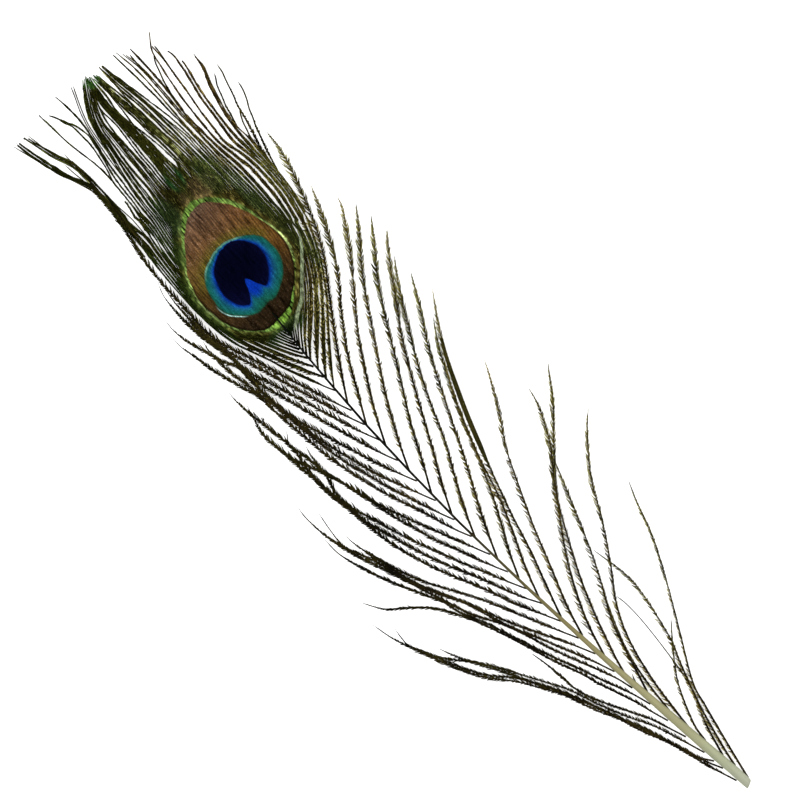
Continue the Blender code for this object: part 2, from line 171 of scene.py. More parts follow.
# How the loose barbs of each side look. fuller: side with the longer barbules. seed: of its chance values.
# core: thickness of the barb. bare: share of the bare length that stays bare. blade, low_blade: width of
# the barbules' dark depth, in the middle and by the quill. low_reach: barbules' reach by the quill.
# shorter: what the reach is divided by, how much that changes higher up, and where the change is done.
# tip_reach: how much further tips reach. other_side: reach on the less full side, and what it gains
# higher up. draws: how far tufts draw together. gap: between barbules. fine: width of barbules, and what
# it gains higher up.
RIGHT_LOOK = SimpleNamespace(
    fuller=-1, seed=11, core=1.45, bare=0.4, blade=0.14, low_blade=0.14, low_reach=1.1,
    shorter=(1.1, 0.35, 140), tip_reach=0.3, other_side=(0.35, 0.25), draws=(0.1, 0.7), gap=0.85,
    fine=(0.75, 0.15),
)
LEFT_LOOK = SimpleNamespace(
    fuller=1, seed=23, core=1.1, bare=0.65, blade=0.36, low_blade=0.2, low_reach=0.72,
    shorter=(1.45, -0.2, 150), tip_reach=0.0, other_side=(0.6, 0.0), draws=(0.3, 0.85), gap=1.0,
    fine=(1.0, 0.0),
)
# Roots lower than this carry thicker barbs with dark tips, and lower than that the narrowest blades
LOW_ROOT_Y = 60
QUILL_ROOT_Y = 20
# Share of a loose barb's barbules at which the tufts begin to lie closer to it
CLOSER_SHARE = 0.62

# Loose barbs of the right side: width of its barbules, bare length at the root, distance along the
# feather at which the barbules end, path from the root
RIGHT_BARBS = (
    (0.7, 6, 94, ((1.6, 1), (4.1, 13), (7, 26), (9.2, 34.5), (17, 49), (24, 62), (30.3, 75), (34.2, 86.5),
     (36.9, 93.5))),
    (0.9, 6, 83, ((1.2, 6.5), (2.6, 14), (6, 28), (10.2, 41), (13.3, 49.5), (16.2, 65), (16.4, 74),
     (14.3, 85.5))),
    (0.8, 6, 46, ((0.6, 11.5), (3.5, 22.5), (7.8, 34), (9.4, 45), (10.5, 58), (10.5, 66), (9.9, 70))),
    (0.7, 5, 54, ((-0.3, 18.5), (0.7, 25), (5.2, 36.5), (10.2, 44.3), (17.4, 53.4))),
    (1.0, 6, 119, ((-1.3, 25), (-0.7, 32), (0.6, 44), (3.7, 58), (8.3, 68.5), (14.5, 77.5), (22.5, 90),
     (29.3, 102.5), (38, 113.5), (43, 118.5))),
    (0.8, 7, 78, ((-2.2, 33), (-1, 46), (1.3, 57), (6.5, 71), (9.5, 77))),
    (1.1, 7, 114, ((-3.2, 42), (-0.3, 52.5), (3.5, 65), (9, 76), (14, 87), (19.8, 102), (24.5, 114))),
    (0.3, 9, 49, ((-4, 46.5), (-3, 49))),
    (1.2, 7, 136, ((-4.4, 51.5), (-2.8, 58), (0.8, 69.5), (5.3, 81.5), (11, 93.5), (18, 106.5), (26.5, 118),
     (32, 129), (33.7, 135.8))),
    (1.2, 8, 138, ((-5.3, 59.5), (-2, 71), (3.2, 83), (9.5, 94), (18, 106), (28, 118), (36, 127),
     (43.5, 137.5))),
    (1.2, 8, 152, ((-6.1, 68.5), (-3.2, 79), (1.2, 91), (5.5, 103), (10.5, 115), (16, 127), (22, 136.5),
     (27.3, 146.5), (29.6, 151.5))),
    (1.1, 8, 179, ((-7, 77.3), (-3.6, 88), (0, 99), (3.3, 111), (7.8, 125), (13, 140), (17, 150), (21.5, 160),
     (26.5, 169), (32.7, 178.5))),
    (1.1, 8, 160, ((-7.9, 86.5), (-4.3, 97), (0, 107), (4.2, 118), (8, 131), (11.9, 142), (16.2, 152),
     (20.3, 159.5))),
    (1.1, 8, 172, ((-8.4, 95), (-4.8, 103.5), (0, 113), (5, 124), (9, 134), (13, 145), (17.5, 155), (22, 164),
     (27, 172))),
    (1.2, 9, 187, ((-9.1, 104), (-5, 114), (-1, 122.5), (4.2, 133), (9.3, 144.5), (14.8, 156.5),
     (20.3, 167.5), (25.5, 176), (31.4, 187))),
    (1.2, 9, 194, ((-9.8, 113.3), (-6, 122.5), (-0.8, 133), (3.8, 142), (8, 152.5), (13, 163.5), (19, 174.5),
     (25.5, 186), (31, 194))),
    (1.3, 9, 202, ((-10.3, 123.3), (-5.8, 133), (-1.3, 141.5), (3.2, 150.5), (8.5, 161), (15, 173),
     (22, 183.5), (29, 194), (35.2, 202))),
    (1.3, 10, 208, ((-10.5, 132.3), (-5.8, 141.5), (-0.8, 152), (4.3, 161), (10, 171), (15.5, 181),
     (22.5, 192.5), (29, 201), (34.2, 208))),
    (1.3, 10, 214, ((-10.7, 142.3), (-6, 153), (0, 164.5), (6, 174.5), (12.5, 185), (19.5, 196), (27, 205.5),
     (33.3, 214))),
    (1.3, 10, 220, ((-10.8, 152.7), (-5.7, 163.5), (-0.3, 173), (6.5, 184), (14.5, 194.5), (22, 204.5),
     (29, 215.5), (30.4, 219.3))),
    (1.3, 9, 228, ((-10.9, 161.3), (-6, 170.5), (-0.5, 181), (7, 192), (15.5, 203.5), (23, 218),
     (26.8, 227.5))),
    (1.4, 8, 249, ((-10.8, 169.8), (-5.5, 178.5), (2, 190), (10, 201.5), (15, 209), (20, 219), (25.3, 234),
     (27.5, 243), (28, 249))),
)

# Loose barbs of the left side
LEFT_BARBS = (
    (1.4, 5, 110, ((-1.6, 2.8), (-4.9, 12), (-7.4, 20.5), (-9.6, 27), (-12.5, 33.5), (-15.3, 41.5),
     (-18.8, 48.5), (-22.5, 58), (-26.5, 65), (-31, 72), (-36.3, 78), (-39.8, 83.5), (-43, 90), (-45.5, 96),
     (-47.7, 101.5), (-50, 107.5), (-51.6, 114.7))),
    (1.2, 5, 104, ((-2.1, 8.5), (-4.6, 13.8), (-7, 20.5), (-9.2, 26.5), (-11.5, 32.5), (-14.6, 41),
     (-17.8, 48.5), (-21.6, 58), (-25.7, 65.5), (-30.3, 72.8), (-36, 79), (-39.4, 84.5), (-42.7, 91),
     (-45.2, 97), (-47.7, 102), (-47.8, 106), (-47.4, 109))),
    (1.3, 5, 95, ((-2.6, 12), (-5.2, 16), (-7.5, 22), (-9.6, 28.5), (-12, 35), (-14.3, 40), (-17, 46),
     (-19.3, 52), (-22.3, 58.5), (-26.5, 66.5), (-29.8, 73), (-32.5, 78), (-34.8, 82), (-37.9, 87.2),
     (-39.6, 90.7), (-41.6, 95.3))),
    (1.2, 5, 98, ((-3, 16), (-5, 22), (-8, 30.5), (-10.3, 35.5), (-13.2, 41), (-17, 49.5), (-20.4, 58.5),
     (-23.4, 64), (-26.9, 70), (-30.3, 76), (-34.2, 82), (-37.2, 86), (-40.8, 90), (-44.3, 94.8),
     (-46.3, 98.5))),
    (1.1, 5, 76, ((-3.9, 23.5), (-6.3, 30), (-8.5, 35.5), (-11.7, 41.5), (-14.4, 46.5), (-17.5, 53),
     (-19, 58), (-19.6, 64), (-20.4, 70), (-21.4, 75))),
    (1.2, 5, 120, ((-4.6, 31), (-6.5, 37), (-7.8, 41.5), (-10.2, 48), (-12.7, 54.5), (-14.4, 60), (-16.9, 66),
     (-19.1, 72), (-21.1, 78), (-23.3, 84), (-25.6, 90), (-28.2, 96), (-30.5, 100), (-32.5, 103.5),
     (-35.5, 107.2), (-40, 111.2), (-45.5, 115.5), (-49.7, 122.3))),
    (1.2, 6, 138, ((-5.1, 38.5), (-6.8, 44), (-9, 49.5), (-11, 54), (-13.2, 60), (-16, 66.5), (-18.4, 72.5),
     (-20.6, 78.5), (-22.8, 84.5), (-25, 90.5), (-27.5, 96), (-29.3, 100), (-30.6, 105), (-33, 110),
     (-35, 114), (-38, 120), (-41, 127), (-42.8, 132), (-44.4, 138), (-44.6, 144))),
    (1.2, 6, 152, ((-5.8, 46), (-7.5, 52), (-10.9, 60), (-13.5, 66), (-16, 72), (-18, 78), (-20.2, 84),
     (-22.5, 89), (-25.5, 94), (-27.5, 98), (-29.3, 103), (-30.8, 107), (-32.5, 111.5), (-34, 116),
     (-36.2, 122), (-38.5, 128), (-41, 134.5), (-42.6, 140.5), (-43.8, 146), (-44.3, 153), (-43.9, 157))),
    (1.2, 6, 144, ((-6.4, 53.5), (-8.9, 60), (-11.6, 66), (-14.3, 72), (-17, 78), (-19.5, 83), (-22, 89),
     (-24, 95), (-26.2, 101), (-29, 106), (-31, 110), (-32.8, 114), (-34.5, 118), (-35.9, 123),
     (-37.5, 128.5), (-39.5, 133), (-41.6, 138.5), (-41.4, 144), (-40.3, 151.5))),
    (1.2, 6, 139, ((-7, 61.6), (-10.2, 68.4), (-13.6, 74.8), (-16.8, 80.7), (-20, 86.9), (-23, 94), (-25, 99),
     (-27.5, 104), (-30, 109), (-32.4, 114), (-34.2, 119), (-35.8, 125), (-37, 130), (-38, 134), (-38.8, 138),
     (-38.8, 140.8))),
    (1.2, 6, 133, ((-7.5, 68.7), (-10.7, 75.2), (-14.1, 82.4), (-17.3, 89.2), (-20.5, 96), (-23.8, 102),
     (-27.4, 108), (-30.8, 114), (-33.5, 120), (-35.2, 125), (-36.6, 130), (-37.4, 133.5))),
    (1.3, 6, 189, ((-8, 76.3), (-11.3, 83.1), (-14.7, 90.1), (-17.1, 96.1), (-20.2, 103.3), (-22.8, 108.8),
     (-25.8, 115.6), (-28.5, 123.5), (-30.5, 131), (-31.7, 138.5), (-32.7, 146.5), (-33.5, 150), (-34, 156),
     (-34.1, 160), (-34.8, 164.5), (-35.3, 169), (-35.7, 174), (-36.4, 178), (-36.4, 181), (-36, 183.5),
     (-34.9, 187.5), (-33.8, 191))),
    (1.3, 6, 195, ((-8.5, 84.3), (-11.7, 90.1), (-14.3, 95.9), (-17.7, 103.9), (-20.5, 109.7), (-23.9, 117.3),
     (-27, 126), (-29.4, 133.5), (-31.3, 139.5), (-32.3, 146), (-33, 152), (-33.5, 157), (-33.8, 162),
     (-33.4, 166), (-32.7, 169), (-32.9, 175), (-33.7, 180), (-34.6, 185.5), (-35.3, 190), (-35.5, 195),
     (-35.2, 198.3))),
    (1.2, 6, 167, ((-9, 91), (-12.2, 97.6), (-15.1, 103.9), (-17.9, 109.7), (-20.5, 115.8), (-23.6, 123),
     (-26.3, 130), (-28.8, 137.5), (-31.2, 144.5), (-32.4, 150), (-31.8, 154), (-30.8, 158), (-30.2, 162),
     (-29.9, 166), (-29, 169.3))),
    (1.2, 6, 179, ((-9.6, 98.6), (-13.2, 106.3), (-16.6, 114.6), (-19.4, 121), (-21.8, 128.5), (-24.2, 136),
     (-26, 143.5), (-27.8, 151), (-30.2, 158), (-32.3, 163), (-34.6, 168.5), (-35.5, 172.5), (-36.2, 177),
     (-36.5, 181))),
    (1.2, 6, 175, ((-10, 106.3), (-12.6, 112.2), (-15.1, 117.8), (-17.4, 123), (-20, 129), (-22.5, 135),
     (-24.9, 141), (-26.9, 148), (-29, 155), (-30.7, 160.5), (-30.9, 164), (-31.8, 169), (-32.7, 173),
     (-31.8, 174.5), (-30.2, 176.7))),
    (1.2, 6, 218, ((-10.4, 114.2), (-13, 120.1), (-15.5, 127.5), (-18.1, 134.5), (-20.8, 141.5),
     (-22.9, 148.5), (-24.5, 154.5), (-26, 161), (-27, 168.5), (-28, 176), (-28.8, 183), (-29.2, 189),
     (-30.2, 193), (-31.6, 197), (-33.5, 203), (-34.6, 207), (-35.3, 211), (-35.9, 214), (-36.7, 218),
     (-36.8, 222))),
    (1.2, 6, 224, ((-10.8, 121.6), (-13.7, 128.6), (-16.2, 135.4), (-18.8, 142.2), (-20.7, 148.8),
     (-22.6, 154.5), (-24.2, 161), (-25.5, 168.5), (-26.5, 176), (-27.6, 184), (-28.8, 190.5), (-29.5, 195),
     (-30.3, 199), (-31, 203), (-31.2, 208), (-32.3, 212), (-33.6, 216), (-34.6, 220), (-34.9, 224),
     (-34.6, 228))),
    (1.2, 6, 213, ((-11, 129.8), (-13.9, 136.5), (-16.8, 143.3), (-19.4, 149.9), (-21.5, 157), (-23.4, 163.5),
     (-25.2, 171), (-26.8, 180), (-27.5, 187), (-27.7, 194), (-27.8, 201), (-29, 203.5), (-30.4, 206),
     (-31.2, 211), (-30.4, 214.6))),
    (1.2, 6, 232, ((-11.2, 138.2), (-14.1, 144.8), (-17, 151.8), (-19.1, 158), (-21.3, 164), (-23.2, 170),
     (-25.2, 175.5), (-26.6, 182), (-27.4, 189), (-27.7, 196), (-27.4, 203), (-27.8, 209), (-28.8, 212),
     (-30, 217.5), (-30.5, 224), (-30.2, 231), (-29.5, 234.5), (-28.3, 237.5))),
    (1.2, 6, 230, ((-11.2, 146.8), (-13.4, 152), (-16.2, 160), (-18.8, 168), (-21.3, 176), (-23, 182),
     (-25, 188), (-26.4, 193), (-27.2, 199), (-27.3, 205), (-28, 210.5), (-28.7, 215.5), (-29, 222),
     (-28.8, 229), (-28.1, 234.5))),
    (1.2, 6, 226, ((-11, 155.2), (-13.7, 161.5), (-16.6, 169.5), (-19.3, 177.5), (-22.2, 186), (-24.4, 192),
     (-26.6, 198), (-27.5, 204), (-28.9, 211), (-29.7, 215.5), (-30.2, 221), (-30.3, 228))),
    (1.2, 6, 228, ((-11.2, 161.8), (-13.7, 168), (-15.8, 174), (-17.8, 180), (-19.9, 186), (-21.8, 192),
     (-24.6, 200), (-26.6, 206), (-28, 211.5), (-28.9, 218), (-28.9, 226), (-28.4, 232))),
    (1.2, 6, 275, ((-11.2, 167.7), (-13.7, 174), (-16.6, 182), (-19, 188.5), (-21.7, 196.5), (-24.6, 204.5),
     (-26.8, 210.5), (-27.8, 217), (-27.7, 226), (-27.7, 235), (-27.2, 242), (-26.6, 248), (-25.5, 253),
     (-24.6, 259), (-23.9, 265), (-24, 271), (-25.5, 277), (-28, 283), (-30, 291), (-31.6, 300))),
    (0.5, 3, 170, ((-34, 156), (-34.2, 160.5), (-35.3, 169))),
    (0.6, 3, 186, ((-33.6, 178), (-34, 181.5), (-33.2, 185))),
)

# Stretch of a barb on the right whose barbules cling together: barb, from and to along the feather, half width
ZIPPED_BARB = 11
ZIPPED_STRETCH = (124, 166, 0.9)

# Barbs of the eye that the ones between them follow, from the left edge to the right, root first
EYE_GUIDES = (
    ((-10.9, 173), (-14, 179.5), (-17.1, 187.5), (-20, 195.5), (-23, 203.5), (-25.4, 210), (-26.3, 218),
     (-26.1, 228), (-25.8, 238), (-25, 248), (-23.9, 256), (-22.9, 264), (-22.6, 272), (-22.3, 277),
     (-23.5, 284), (-25.8, 291.5), (-28.5, 297), (-29.3, 299)),
    ((-10.8, 178.5), (-12.5, 182), (-16, 189.5), (-19.5, 197.5), (-22.5, 205.5), (-24.5, 213), (-25.2, 221),
     (-24.9, 230), (-24.3, 240), (-23.5, 249), (-22.3, 257), (-21.6, 264), (-21.2, 268)),
    ((-10.6, 184), (-12.5, 187.5), (-16, 194.5), (-19.3, 202), (-22, 210), (-23.5, 219), (-23.4, 229),
     (-22.3, 239), (-21, 249), (-19.3, 257), (-18, 264), (-17.4, 272)),
    ((-10.3, 188.8), (-12.5, 192.5), (-15.8, 199), (-18.8, 206.5), (-21, 215), (-21.8, 224), (-21.2, 233),
     (-19.8, 242), (-18, 251), (-16.2, 260), (-14.6, 269), (-13.4, 278), (-11.5, 286), (-9, 291)),
    ((-10, 192.5), (-12, 196), (-14.8, 202), (-17, 209.5), (-18.3, 218), (-18.5, 227), (-17.6, 236),
     (-16, 245), (-14.3, 254), (-12.6, 263), (-11.3, 272), (-10, 281), (-7.8, 289), (-4.8, 295.5),
     (-3, 298.5)),
    ((-9.7, 196), (-11, 199.5), (-12.6, 205), (-13.8, 212), (-14.4, 220), (-14.2, 230), (-13.3, 240),
     (-12, 250), (-10.6, 260), (-9.3, 270), (-8, 280), (-6.2, 288), (-3.8, 295), (-2.6, 299)),
    ((-9.3, 200), (-10, 203.5), (-10.7, 209), (-11, 216), (-11, 226), (-10.3, 237), (-9.2, 248), (-8, 259),
     (-7, 270), (-5.8, 281), (-4.2, 291), (-2.2, 299.5)),
    ((-8.9, 204), (-9, 208), (-9, 216), (-8.7, 227), (-7.9, 238), (-6.9, 249), (-5.8, 260), (-4.8, 271),
     (-3.6, 283), (-2.3, 293), (-1.3, 300)),
    ((-8.6, 206), (-7.9, 210), (-7, 218), (-6, 228), (-4.9, 239), (-3.9, 250), (-3, 261), (-2.4, 272),
     (-1.8, 283), (-1.2, 292), (-0.8, 299.5)),
    ((-8.8, 202), (-7.2, 206), (-5, 213.5), (-3.5, 222), (-2.2, 232), (-1.2, 243), (-0.4, 254), (0, 265),
     (0.2, 276), (0, 287), (-0.3, 299)),
    ((-9.2, 198), (-6.8, 202.5), (-3.2, 209.5), (-0.6, 217), (1.2, 226), (2.4, 236), (3, 247), (3.1, 258),
     (2.9, 269), (2.3, 280), (1.5, 290), (0.8, 298.5)),
    ((-9.6, 194.5), (-6.5, 199), (-1.8, 205.5), (2, 212.5), (4.6, 220.5), (6.2, 230), (7, 240), (7, 250),
     (6.4, 261), (5.4, 272), (4.3, 283), (3.4, 292), (2.8, 299.3)),
    ((-9.9, 191), (-6.3, 196), (-0.8, 202.5), (4.2, 209), (7.8, 217), (9.8, 226), (10.6, 236), (10.4, 247),
     (9.8, 258), (8.8, 269), (7.5, 280), (6, 290), (4.4, 299.7)),
    ((-10.2, 187.5), (-6.2, 192.5), (0.5, 199.5), (6, 206), (10.4, 213.5), (13, 222), (14, 232), (13.8, 243),
     (13, 254), (11.8, 265), (10.7, 276), (10.1, 287), (9.6, 298)),
    ((-10.5, 182), (-6.2, 187), (1, 195), (7.5, 202.5), (12.8, 210.5), (16.3, 219), (18.5, 228), (19.3, 238),
     (18.8, 248), (17.3, 258), (16.3, 268), (16.6, 279), (18, 290)),
    ((-10.6, 178), (-6, 184.5), (1.2, 193), (8, 201), (13.4, 209.3), (17.3, 218), (20, 228), (20.8, 238),
     (21, 249), (22, 259), (24.8, 269), (27.5, 279), (27.8, 283)),
    ((-10.7, 174), (-5.8, 181), (1.5, 190.5), (8.5, 199.5), (14.2, 208), (18.5, 217), (21.3, 226),
     (22.5, 236), (23, 246), (24.8, 255), (27.2, 263), (29.5, 270), (31, 275)),
)

# Barbs between one guide of the eye and the next, and the guide at which its left piece gives way to the right
EYE_COUNTS = (2, 2, 3, 4, 6, 5, 4, 4, 5, 5, 6, 5, 4, 3, 2, 2)
EYE_SPLIT = 8.0
EYE_SEED = 37
# Blade of an eye barb: its least half width, half its thickness, how near its corners are to its edge
LEAST_BLADE_HALF = 0.05
BLADE_HALF_HEIGHT = 0.03
# The blade's sides have edge value 1: the eye's shader paints shade there, where barbs meet
BLADE_EDGES = np.array([1.0, 0.0, 1.0, 0.0])

# Where the eye's barbs run on in the crown, from its left edge to the right: how many barbs, width of them
# all, path. They part from the vane at this distance along the feather, and may end this much short.
CROWN_START_Y = 249.0
CROWN_SHORTEST = 1.8
CROWN_LINES = (
    (2, 1.3, ((-24.9, 250), (-24.2, 256), (-23.2, 262), (-23.1, 268), (-23.1, 272), (-24.2, 275.5),
     (-25.4, 278), (-27.3, 282), (-28.8, 287), (-29.8, 291), (-30.7, 295), (-31.5, 299.7))),
    (2, 1.1, ((-23.6, 250), (-23.1, 256), (-22.4, 262), (-22.3, 268), (-22.3, 272), (-22.4, 277),
     (-22.7, 281), (-23.6, 284), (-24.8, 286.5), (-25.6, 289), (-26.3, 291.5), (-27.2, 295), (-28.2, 299))),
    (1, 0.4, ((-20.6, 250), (-19.95, 255), (-19.15, 260), (-18.7, 263.5))),
    (1, 0.4, ((-19.6, 250), (-19.1, 255), (-18.4, 259), (-17.9, 263), (-17.7, 266), (-17.5, 270),
     (-17.4, 273), (-17.5, 276), (-18, 280), (-18.6, 283.5), (-19.2, 287), (-19.7, 291), (-20.1, 296),
     (-20.4, 301.5))),
    (1, 0.35, ((-18.9, 250), (-18.4, 255), (-18.1, 260), (-17.9, 265), (-17.5, 270), (-16.6, 273),
     (-15.9, 276), (-15.2, 279.5), (-14.7, 283), (-14.75, 287), (-15, 291), (-16, 294), (-17, 297),
     (-19.4, 300.3))),
    (1, 0.4, ((-18.4, 250), (-18, 255), (-17.1, 260), (-16.7, 265), (-16.2, 270), (-15.6, 273), (-14.9, 276),
     (-14.2, 279), (-13.6, 283), (-13.2, 285), (-13.8, 288), (-14.7, 291), (-16, 293.5), (-17, 296),
     (-18.2, 298.5))),
    (1, 0.5, ((-17.1, 250), (-16.5, 255), (-16.1, 260), (-15.8, 265), (-15.2, 270), (-14.7, 274),
     (-14.1, 278), (-13.5, 282), (-13.1, 285), (-12.7, 287), (-12.3, 290), (-12, 293), (-12.2, 297.5),
     (-12.8, 301.8))),
    (2, 0.75, ((-16, 250), (-15.5, 255), (-15, 260), (-14.5, 265), (-13.7, 270), (-12.7, 275), (-11.65, 280),
     (-10.6, 285), (-9, 290), (-6.5, 294.3), (-3.8, 298.2), (-2.6, 299.6))),
    (2, 0.65, ((-15, 250), (-14.4, 255), (-13.7, 260), (-13, 265), (-12.35, 270), (-11.5, 275), (-10.75, 280),
     (-10, 285), (-8.5, 289.6), (-6.1, 294), (-3.4, 298), (-2, 299.8))),
    (2, 0.65, ((-13.8, 250), (-13.2, 255), (-12.6, 260), (-12.2, 265), (-11.5, 270), (-11, 275), (-10.1, 280),
     (-9.6, 284.6), (-7.9, 289.4), (-5.6, 293.6), (-3, 297.6), (-1.2, 300.2))),
    (2, 0.6, ((-12.2, 250), (-11.3, 255), (-10.7, 260), (-10.6, 265), (-10.5, 270), (-10.05, 275),
     (-9.4, 280), (-9.05, 283), (-8.2, 286), (-7.1, 289), (-5.4, 292.4), (-3.4, 295.8), (-2.2, 298.5))),
    (3, 0.7, ((-11, 250), (-10.3, 255), (-9.6, 260), (-9.2, 265), (-8.9, 270), (-8.6, 275), (-8.25, 280),
     (-7.95, 284), (-7.2, 287.5), (-6, 290.5), (-4.4, 293.4), (-2.9, 296.5), (-1.6, 299.3))),
    (2, 0.6, ((-9.9, 250), (-9.3, 255), (-8.9, 260), (-8.6, 265), (-8.3, 270), (-7.95, 275), (-7.8, 280),
     (-7.5, 284), (-6.8, 287.3), (-5.6, 290.3), (-4.1, 293), (-2.7, 296), (-1.4, 299))),
    (2, 0.55, ((-8.7, 250), (-8.2, 255), (-7.9, 260), (-7.5, 265), (-7.2, 270), (-7.1, 275), (-7.05, 279),
     (-7.4, 284), (-6.9, 287), (-5.7, 290.3), (-4.4, 292.6), (-2.9, 295.5), (-1.5, 298.8))),
    (1, 0.45, ((-7.7, 250), (-7.2, 255), (-7.1, 260), (-6.9, 265), (-6.95, 270), (-6.9, 275), (-6.75, 280),
     (-6.3, 283.5), (-5.95, 285.5), (-5.6, 287), (-5, 289), (-4.3, 291.3), (-3.4, 294), (-2.2, 297))),
    (1, 0.4, ((-6.9, 250), (-6.6, 255), (-6.4, 260), (-6.05, 265), (-6.05, 270), (-5.45, 275), (-4.8, 280),
     (-4.7, 283), (-4.95, 286), (-5.2, 288), (-4.9, 290), (-4, 292.5), (-2.9, 295.5), (-1.7, 298.5))),
    (1, 0.4, ((-6, 250), (-5.8, 255), (-5.6, 260), (-5.2, 265), (-5.1, 270), (-4.65, 275), (-4.3, 280),
     (-4.25, 284), (-4.05, 287), (-3.9, 290), (-3.3, 294), (-2.1, 298.5))),
    (2, 0.9, ((-4.9, 250), (-4.75, 255), (-4.5, 260), (-4, 265), (-3.75, 270), (-3.6, 275), (-3.7, 280),
     (-3.6, 285), (-3.5, 290), (-2.9, 294.5), (-1.7, 299))),
    (2, 0.9, ((-4, 250), (-3.9, 255), (-3.7, 260), (-3.3, 265), (-3.05, 270), (-3.05, 275), (-3.15, 280),
     (-3.1, 285), (-3, 290), (-2.5, 294.5), (-1.3, 299.5))),
    (2, 0.9, ((-3.1, 250), (-2.9, 255), (-2.8, 260), (-2.5, 265), (-2.3, 270), (-2.3, 275), (-2.45, 280),
     (-2.45, 285), (-2.4, 290), (-2.1, 294), (-1.1, 299))),
    (1, 0.6, ((-1.9, 250), (-1.95, 255), (-1.95, 260), (-1.8, 265), (-1.6, 270), (-1.75, 275), (-1.95, 280),
     (-2.1, 285), (-2.2, 289), (-1.6, 296), (-0.9, 299))),
    (1, 0.6, ((-1.3, 250), (-1.15, 255), (-1.1, 260), (-1.1, 265), (-1, 270), (-1.3, 275), (-1.4, 280),
     (-1.85, 285), (-1.3, 288.3), (-0.8, 291), (-0.7, 295), (-0.5, 299))),
    (1, 0.35, ((-0.3, 250), (-0.25, 255), (-0.25, 260), (-0.5, 265), (-0.55, 270), (-0.9, 275), (-1, 279),
     (-0.6, 282), (-0.2, 285), (0, 288), (0.2, 291), (0.3, 295), (0.2, 298.5))),
    (1, 0.3, ((1.2, 250), (1.25, 255), (1.15, 260), (0.9, 265), (0.35, 270), (-0.1, 274), (-0.6, 277.5),
     (-1, 279.5))),
    (2, 0.6, ((1.9, 250), (1.95, 255), (1.95, 260), (1.85, 265), (1.65, 270), (1.2, 275), (0.9, 280),
     (0.5, 284), (0.35, 288), (0.35, 292), (0.3, 296), (0.1, 299))),
    (1, 0.55, ((2.6, 250), (2.6, 255), (2.7, 260), (2.8, 265), (2.45, 270), (1.6, 275), (1.6, 280),
     (1.2, 284), (0.95, 288), (0.8, 292), (0.6, 296), (0.3, 298.5))),
    (1, 0.6, ((3.3, 250), (3.2, 255), (3.2, 260), (3.3, 265), (2.9, 270), (2.6, 275), (2.2, 280), (1.75, 284),
     (1.35, 288), (1.15, 292), (1.05, 296), (1, 299))),
    (1, 0.6, ((4, 250), (3.9, 255), (3.8, 260), (3.75, 265), (3.4, 270), (3.1, 275), (2.75, 280), (2.15, 284),
     (1.75, 288), (1.5, 291), (1.25, 294), (1.15, 298.7))),
    (1, 0.5, ((4.7, 250), (4.5, 255), (4.2, 260), (4.05, 265), (3.8, 270), (3.65, 275), (3.3, 280),
     (2.95, 284), (2.65, 287), (2.35, 289.7), (1.8, 292), (1.4, 295), (1.2, 298.5))),
    (1, 0.45, ((5.5, 250), (5.35, 255), (5.15, 260), (4.85, 265), (4.25, 270), (3.9, 275), (3.6, 280),
     (3.2, 284), (3.2, 287.5), (3.5, 290), (3.55, 292), (3.5, 295), (3.3, 299.3))),
    (1, 0.55, ((6.2, 250), (6.1, 255), (5.95, 260), (5.75, 265), (5.2, 270), (4.95, 275), (4.6, 280),
     (4.2, 284), (3.85, 287), (3.5, 290), (3.6, 293), (3.6, 296), (3.35, 299.3))),
    (1, 0.5, ((7, 250), (6.8, 255), (6.7, 260), (6.4, 265), (6.15, 270), (5.75, 275), (5.55, 280), (5.1, 284),
     (4.75, 287.5), (4.3, 290.5), (4.1, 293), (3.8, 296), (3.45, 299.5))),
    (2, 0.7, ((7.8, 250), (7.5, 255), (7.3, 260), (7.1, 265), (7.05, 270), (6.9, 275), (6.5, 280), (6, 284),
     (5.4, 288), (5, 291), (4.7, 294), (4.5, 297), (4.35, 299.8))),
    (2, 0.65, ((9, 250), (8.8, 255), (8.6, 260), (8.6, 265), (8.1, 270), (7.5, 275), (6.85, 280), (6.4, 284),
     (5.8, 288), (5.4, 291), (4.9, 294), (4.6, 297), (4.4, 300))),
    (1, 0.35, ((10.1, 250), (10, 255), (9.8, 260), (9.75, 265), (9.3, 270), (8.55, 275), (7.65, 280),
     (7, 284), (6.4, 288), (5.8, 291), (5.2, 294), (4.8, 297), (4.4, 300))),
    (1, 0.45, ((10.7, 250), (10.5, 255), (10.5, 260), (10.65, 265), (10.65, 270), (10.45, 275), (10.3, 280),
     (10.15, 285), (9.95, 290), (9.7, 295), (9.45, 299))),
    (1, 0.4, ((11.5, 250), (11.4, 255), (11.2, 260), (10.9, 265), (10.75, 270), (11.1, 275.5), (11.45, 280),
     (11.6, 285), (11.55, 289), (11.3, 293), (10.8, 296), (10.3, 299.3))),
    (2, 0.6, ((12.5, 250), (12.4, 255), (12.3, 260), (12.45, 265), (12.3, 270), (12.5, 275), (12.7, 280),
     (12.85, 285), (12.9, 289), (12.6, 292.5), (12.1, 295), (11.8, 297.3))),
    (1, 0.5, ((13.7, 250), (13.65, 255), (13.5, 260), (13.2, 265), (13.05, 270), (13.5, 274), (13.9, 278),
     (14.1, 284), (14.25, 290), (14.5, 297))),
    (1, 0.35, ((15.2, 248), (15.1, 253), (14.9, 258), (15, 262), (15.2, 267), (15.4, 270), (15.9, 275),
     (16.8, 280), (17.3, 283), (18, 286), (18.5, 289), (19.1, 291.5), (20, 293), (22.1, 296), (23, 297))),
    (1, 0.35, ((16, 248), (16.2, 255), (16.6, 260), (16.9, 265), (17.45, 270), (18.2, 275), (18.85, 280),
     (19.5, 284.5), (19.7, 287), (19.75, 293))),
    (1, 0.4, ((18.2, 250), (18.5, 255), (19.1, 260), (19.8, 265), (20.3, 270), (21.3, 275), (22.2, 280),
     (22.65, 282.5), (22.9, 284.5), (23.1, 286), (22.75, 288), (22.1, 290))),
